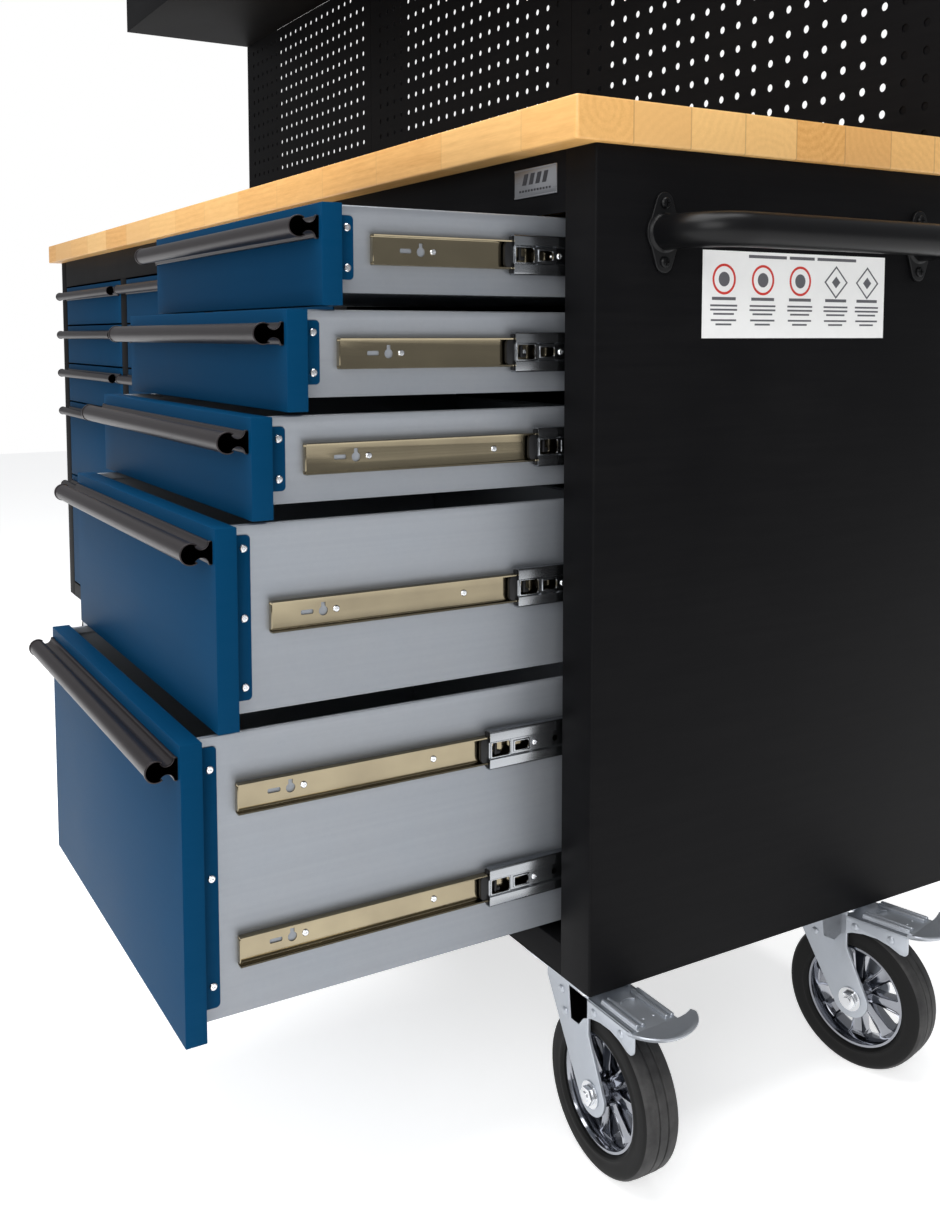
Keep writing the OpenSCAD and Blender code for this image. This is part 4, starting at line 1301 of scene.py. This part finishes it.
@dataclass
class Wheel:
    """Tyre and rim turned about Z, to be stood on an axle."""

    radius: float = 80 * MM
    rim_r: float = 57 * MM
    spokes: int = 8

    def tyre(self) -> Mesh:
        """Tyre with rounded shoulders, tread grooves and a raised sidewall band."""
        r, half, sh = self.radius, 21 * MM, 8 * MM
        side = [(self.rim_r, half - 3 * MM), (self.rim_r + 2 * MM, half - 0.4 * MM),
                (self.rim_r + 4 * MM, half),
                (self.rim_r + 6 * MM, half - 0.9 * MM), (self.rim_r + 9 * MM, half - 0.6 * MM),
                *arc(r - sh, half - sh - 0.4 * MM, sh, 80, 20, 6)]
        groove = r - 1.4 * MM
        tread = [(r - 0.6 * MM, 11 * MM), (r, 9.6 * MM), (r, 6.2 * MM), (groove, 5.6 * MM),
                 (groove, 4.6 * MM), (r, 4.0 * MM)]
        upper = [*side, *tread]
        tyre = turned(mirrored(upper), 112)
        tyre.data.materials.append(Skin.SIDEWALL.material())
        tyre.data.materials.append(Skin.TREAD.material())
        for face in tyre.data.polygons:
            face.material_index = int(face.center.xy.length > r - 3.2 * MM)
        return tyre

    def rim(self) -> Mesh:
        """Chromed rim: lipped band, eight tapered spokes in pairs of ribs, and a hub."""
        r = self.rim_r
        section = ((0, -16), (1, -17), (3.4, -17), (4.4, -15), (7, -9), (7, 9), (4.4, 15), (3.4, 17), (1, 17))
        band = [(r, 16 * MM), *[(r - inset * MM, z * MM) for inset, z in section]]
        hub = mirrored([mm(*point) for point in ((5.05, 22), (11, 22), (13, 20.5), (15, 14), (16, 6))])
        spoke = self.spoke()
        spokes = [copy_of(spoke, Matrix.Rotation(math.tau * i / self.spokes, 4, "Z"))
                  for i in range(self.spokes)]
        bpy.data.objects.remove(spoke)
        return painted(join(turned(band, 96), turned(hub, 48), *spokes), Skin.CHROME)

    def spoke(self) -> Mesh:
        """One spoke along +X: wide at the rim, narrow at the hub, hollowed on both faces."""
        r = self.rim_r
        outline = [mm(12, -5.6), mm(26, -5.4), (r - 13 * MM, -7.4 * MM), (r - 6 * MM, -12 * MM),
                   (r - 6 * MM, 12 * MM), (r - 13 * MM, 7.4 * MM), mm(26, 5.4), mm(12, 5.6)]
        blade = extruded(outline, 16 * MM, Matrix.Translation(mm(0, 0, -8)))
        mark_faces(blade, lambda face: abs(face.normal.z) > 0.9)
        with editing(blade):
            bpy.ops.mesh.inset(thickness=1.7 * MM, depth=-2.2 * MM, use_individual=True)
        return soften(blade, 0.7 * MM, 2, 25)


@dataclass
class Undercarriage:
    """Two swivel casters with brakes at the handle end, two fixed ones at the far end."""

    def dress(self) -> None:
        """Models each kind of caster once and copies it to its place."""
        joints = {joint["name"]: joint for joint in frame["joints"]}
        tyre, rim = Wheel().tyre(), Wheel().rim()
        swivel, fixed = Caster(42 * MM), Caster(0.0)
        fork = join(swivel.fork(), swivel.cover(), rod(mm(0, 0, -16), mm(0, 0, -14.2), 27 * MM, 48))
        pedal = swivel.pedal()
        plate, fixed_plate = swivel.plate(True), join(fixed.plate(False), fixed.fork())
        plates: list[Mesh] = []
        for end in ("front", "rear"):
            pivot = Vector(joints[f"swivel_{end}_turn"]["pos_m"])
            axle = Vector(joints[f"wheel_{end}_roll"]["pos_m"])
            trail = axle - pivot
            place = Matrix.Translation(pivot) @ Matrix.Rotation(math.atan2(trail.y, trail.x), 4, "Z")
            lay = Matrix.Rotation(math.radians(90), 4, "X")
            on_axle = place @ Matrix.Translation((swivel.lean, 0, swivel.axle_z)) @ lay
            hand_over(copy_of(fork, place), f"swivel_{end}.fork", f"swivel_{end}", "zinc_steel",
                      (f"swivel_fork_{end}",))
            hand_over(copy_of(pedal, place), f"brake_{end}.pedal", f"brake_{end}", "zinc_steel",
                      (f"brake_pedal_{end}",))
            wheel = f"wheel_{end}"
            hand_over(copy_of(tyre, on_axle), f"{wheel}.tyre", wheel, "tyre_rubber", (f"tyre_{end}",))
            hand_over(copy_of(rim, on_axle), f"{wheel}.rim", wheel, "chrome_rim", (f"rim_{end}",))
            plates.append(copy_of(plate, place))
            far = Vector(joints[f"fixed_wheel_{end}_roll"]["pos_m"])
            far_axle = Matrix.Translation(far) @ lay
            body = f"fixed_wheel_{end}"
            hand_over(copy_of(tyre, far_axle), f"{body}.tyre", body, "tyre_rubber", (body,))
            hand_over(copy_of(rim, far_axle), f"{body}.rim", body, "chrome_rim")
            plates.append(copy_of(fixed_plate, Matrix.Translation((far.x, far.y, pivot.z))))
        hand_over(join(*plates), "caster_plates.plates", "bench", "zinc_steel", ("caster_plates",))
        for pattern in (tyre, rim, fork, pedal, plate, fixed_plate):
            bpy.data.objects.remove(pattern)


# ---------------------------------------------------------------------- studio


@dataclass
class Studio:
    """Camera, pale floor, soft lights and surroundings."""

    yaw: float = 59.57
    pitch: float = -4.76
    lens: float = 36.52
    shift_y: float = -0.1393
    stand: Sequence[float] = (0.89932, -0.65779, 0.6192)

    def set_up(self) -> None:
        """Makes the whole studio."""
        low, high = BODY_BOX
        self.corner = Vector((high.x, low.y, low.z))
        self.camera()
        self.floor()
        self.lights()
        self.world()

    def camera(self) -> None:
        """Stands the camera before the right front corner of the body."""
        data = bpy.data.cameras.new("camera")
        data.lens, data.sensor_width, data.shift_y = self.lens, 36.0, self.shift_y
        data.clip_start = 0.02
        camera = bpy.data.objects.new("camera", data)
        camera.location = self.corner + Vector(self.stand)
        camera.rotation_euler = (math.radians(90 + self.pitch), 0, math.radians(self.yaw))
        bpy.context.scene.collection.objects.link(camera)
        bpy.context.scene.camera = camera

    def floor(self) -> None:
        """A wide pale floor under the wheels."""
        floor = primitive("plane", size=14, location=(0, 0, 0))
        floor.name = "floor"
        graph = Graph("floor_white")
        soft = graph.noise(graph.place(), 2.0, 2)
        tone = graph.mix(soft, (0.86, 0.86, 0.86), (0.90, 0.90, 0.90))
        floor.data.materials.append(graph.surface(Base_Color=tone, Roughness=0.6, Emission_Strength=0.62,
                                                  Emission_Color=(1.0, 1.0, 1.0)))
        floor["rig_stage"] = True

    def lights(self) -> None:
        """Large soft lights: overhead, front right and behind the camera."""
        c = self.corner
        self.area("key", c + Vector((1.9, -2.4, 1.9)), c + Vector((-0.3, 0, 0.4)), 2.2, 58)
        self.area("top", c + Vector((-0.6, -0.3, 2.6)), c + Vector((-0.6, 0, 0.5)), 2.6, 96)
        self.area("left", c + Vector((-2.4, -2.4, 1.2)), c + Vector((-0.4, -0.2, 0.4)), 1.8, 3)

    def area(self, name: str, spot: Vector, target: Vector, size: float, power: float) -> None:
        """Adds one square light that faces a target."""
        data = bpy.data.lights.new(name, "AREA")
        data.size, data.energy = size, power
        light = bpy.data.objects.new(name, data)
        light.location = spot
        light.rotation_euler = (target - spot).to_track_quat("-Z", "Y").to_euler()
        bpy.context.scene.collection.objects.link(light)

    def world(self) -> None:
        """White behind the object, softer grey for its reflections."""
        world = bpy.data.worlds.new("studio")
        world.use_nodes = True
        tree = world.node_tree
        tree.nodes.clear()
        path = tree.nodes.new("ShaderNodeLightPath")
        white, grey = (tree.nodes.new("ShaderNodeBackground") for _ in range(2))
        white.inputs["Color"].default_value = (1, 1, 1, 1)
        grey.inputs["Color"].default_value = (0.95, 0.97, 1.0, 1)
        grey.inputs["Strength"].default_value = 0.30
        mixer = tree.nodes.new("ShaderNodeMixShader")
        out = tree.nodes.new("ShaderNodeOutputWorld")
        tree.links.new(path.outputs["Is Camera Ray"], mixer.inputs[0])
        tree.links.new(grey.outputs[0], mixer.inputs[1])
        tree.links.new(white.outputs[0], mixer.inputs[2])
        tree.links.new(mixer.outputs[0], out.inputs["Surface"])
        bpy.context.scene.world = world
        bpy.context.scene.view_settings.view_transform = "Standard"


def write_sizes() -> None:
    """Gathers the CAD box and the visual model's box into a table, which is left unused."""
    boxes = {name: [list(corner) for corner in box]
             for name, box in (("cad", cad_box), ("visual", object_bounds()))}


def main() -> None:
    """Builds the bench around its frame."""
    logging.basicConfig(level=logging.INFO, format="%(name)s: %(message)s")
    Studio().set_up()
    for part in (Cabinet(), Top(), PushHandle(), Wall(), Undercarriage(), Drawers()):
        part.dress()
    Stock.clear()
    write_sizes()


if __name__ == "__main__":
    main()
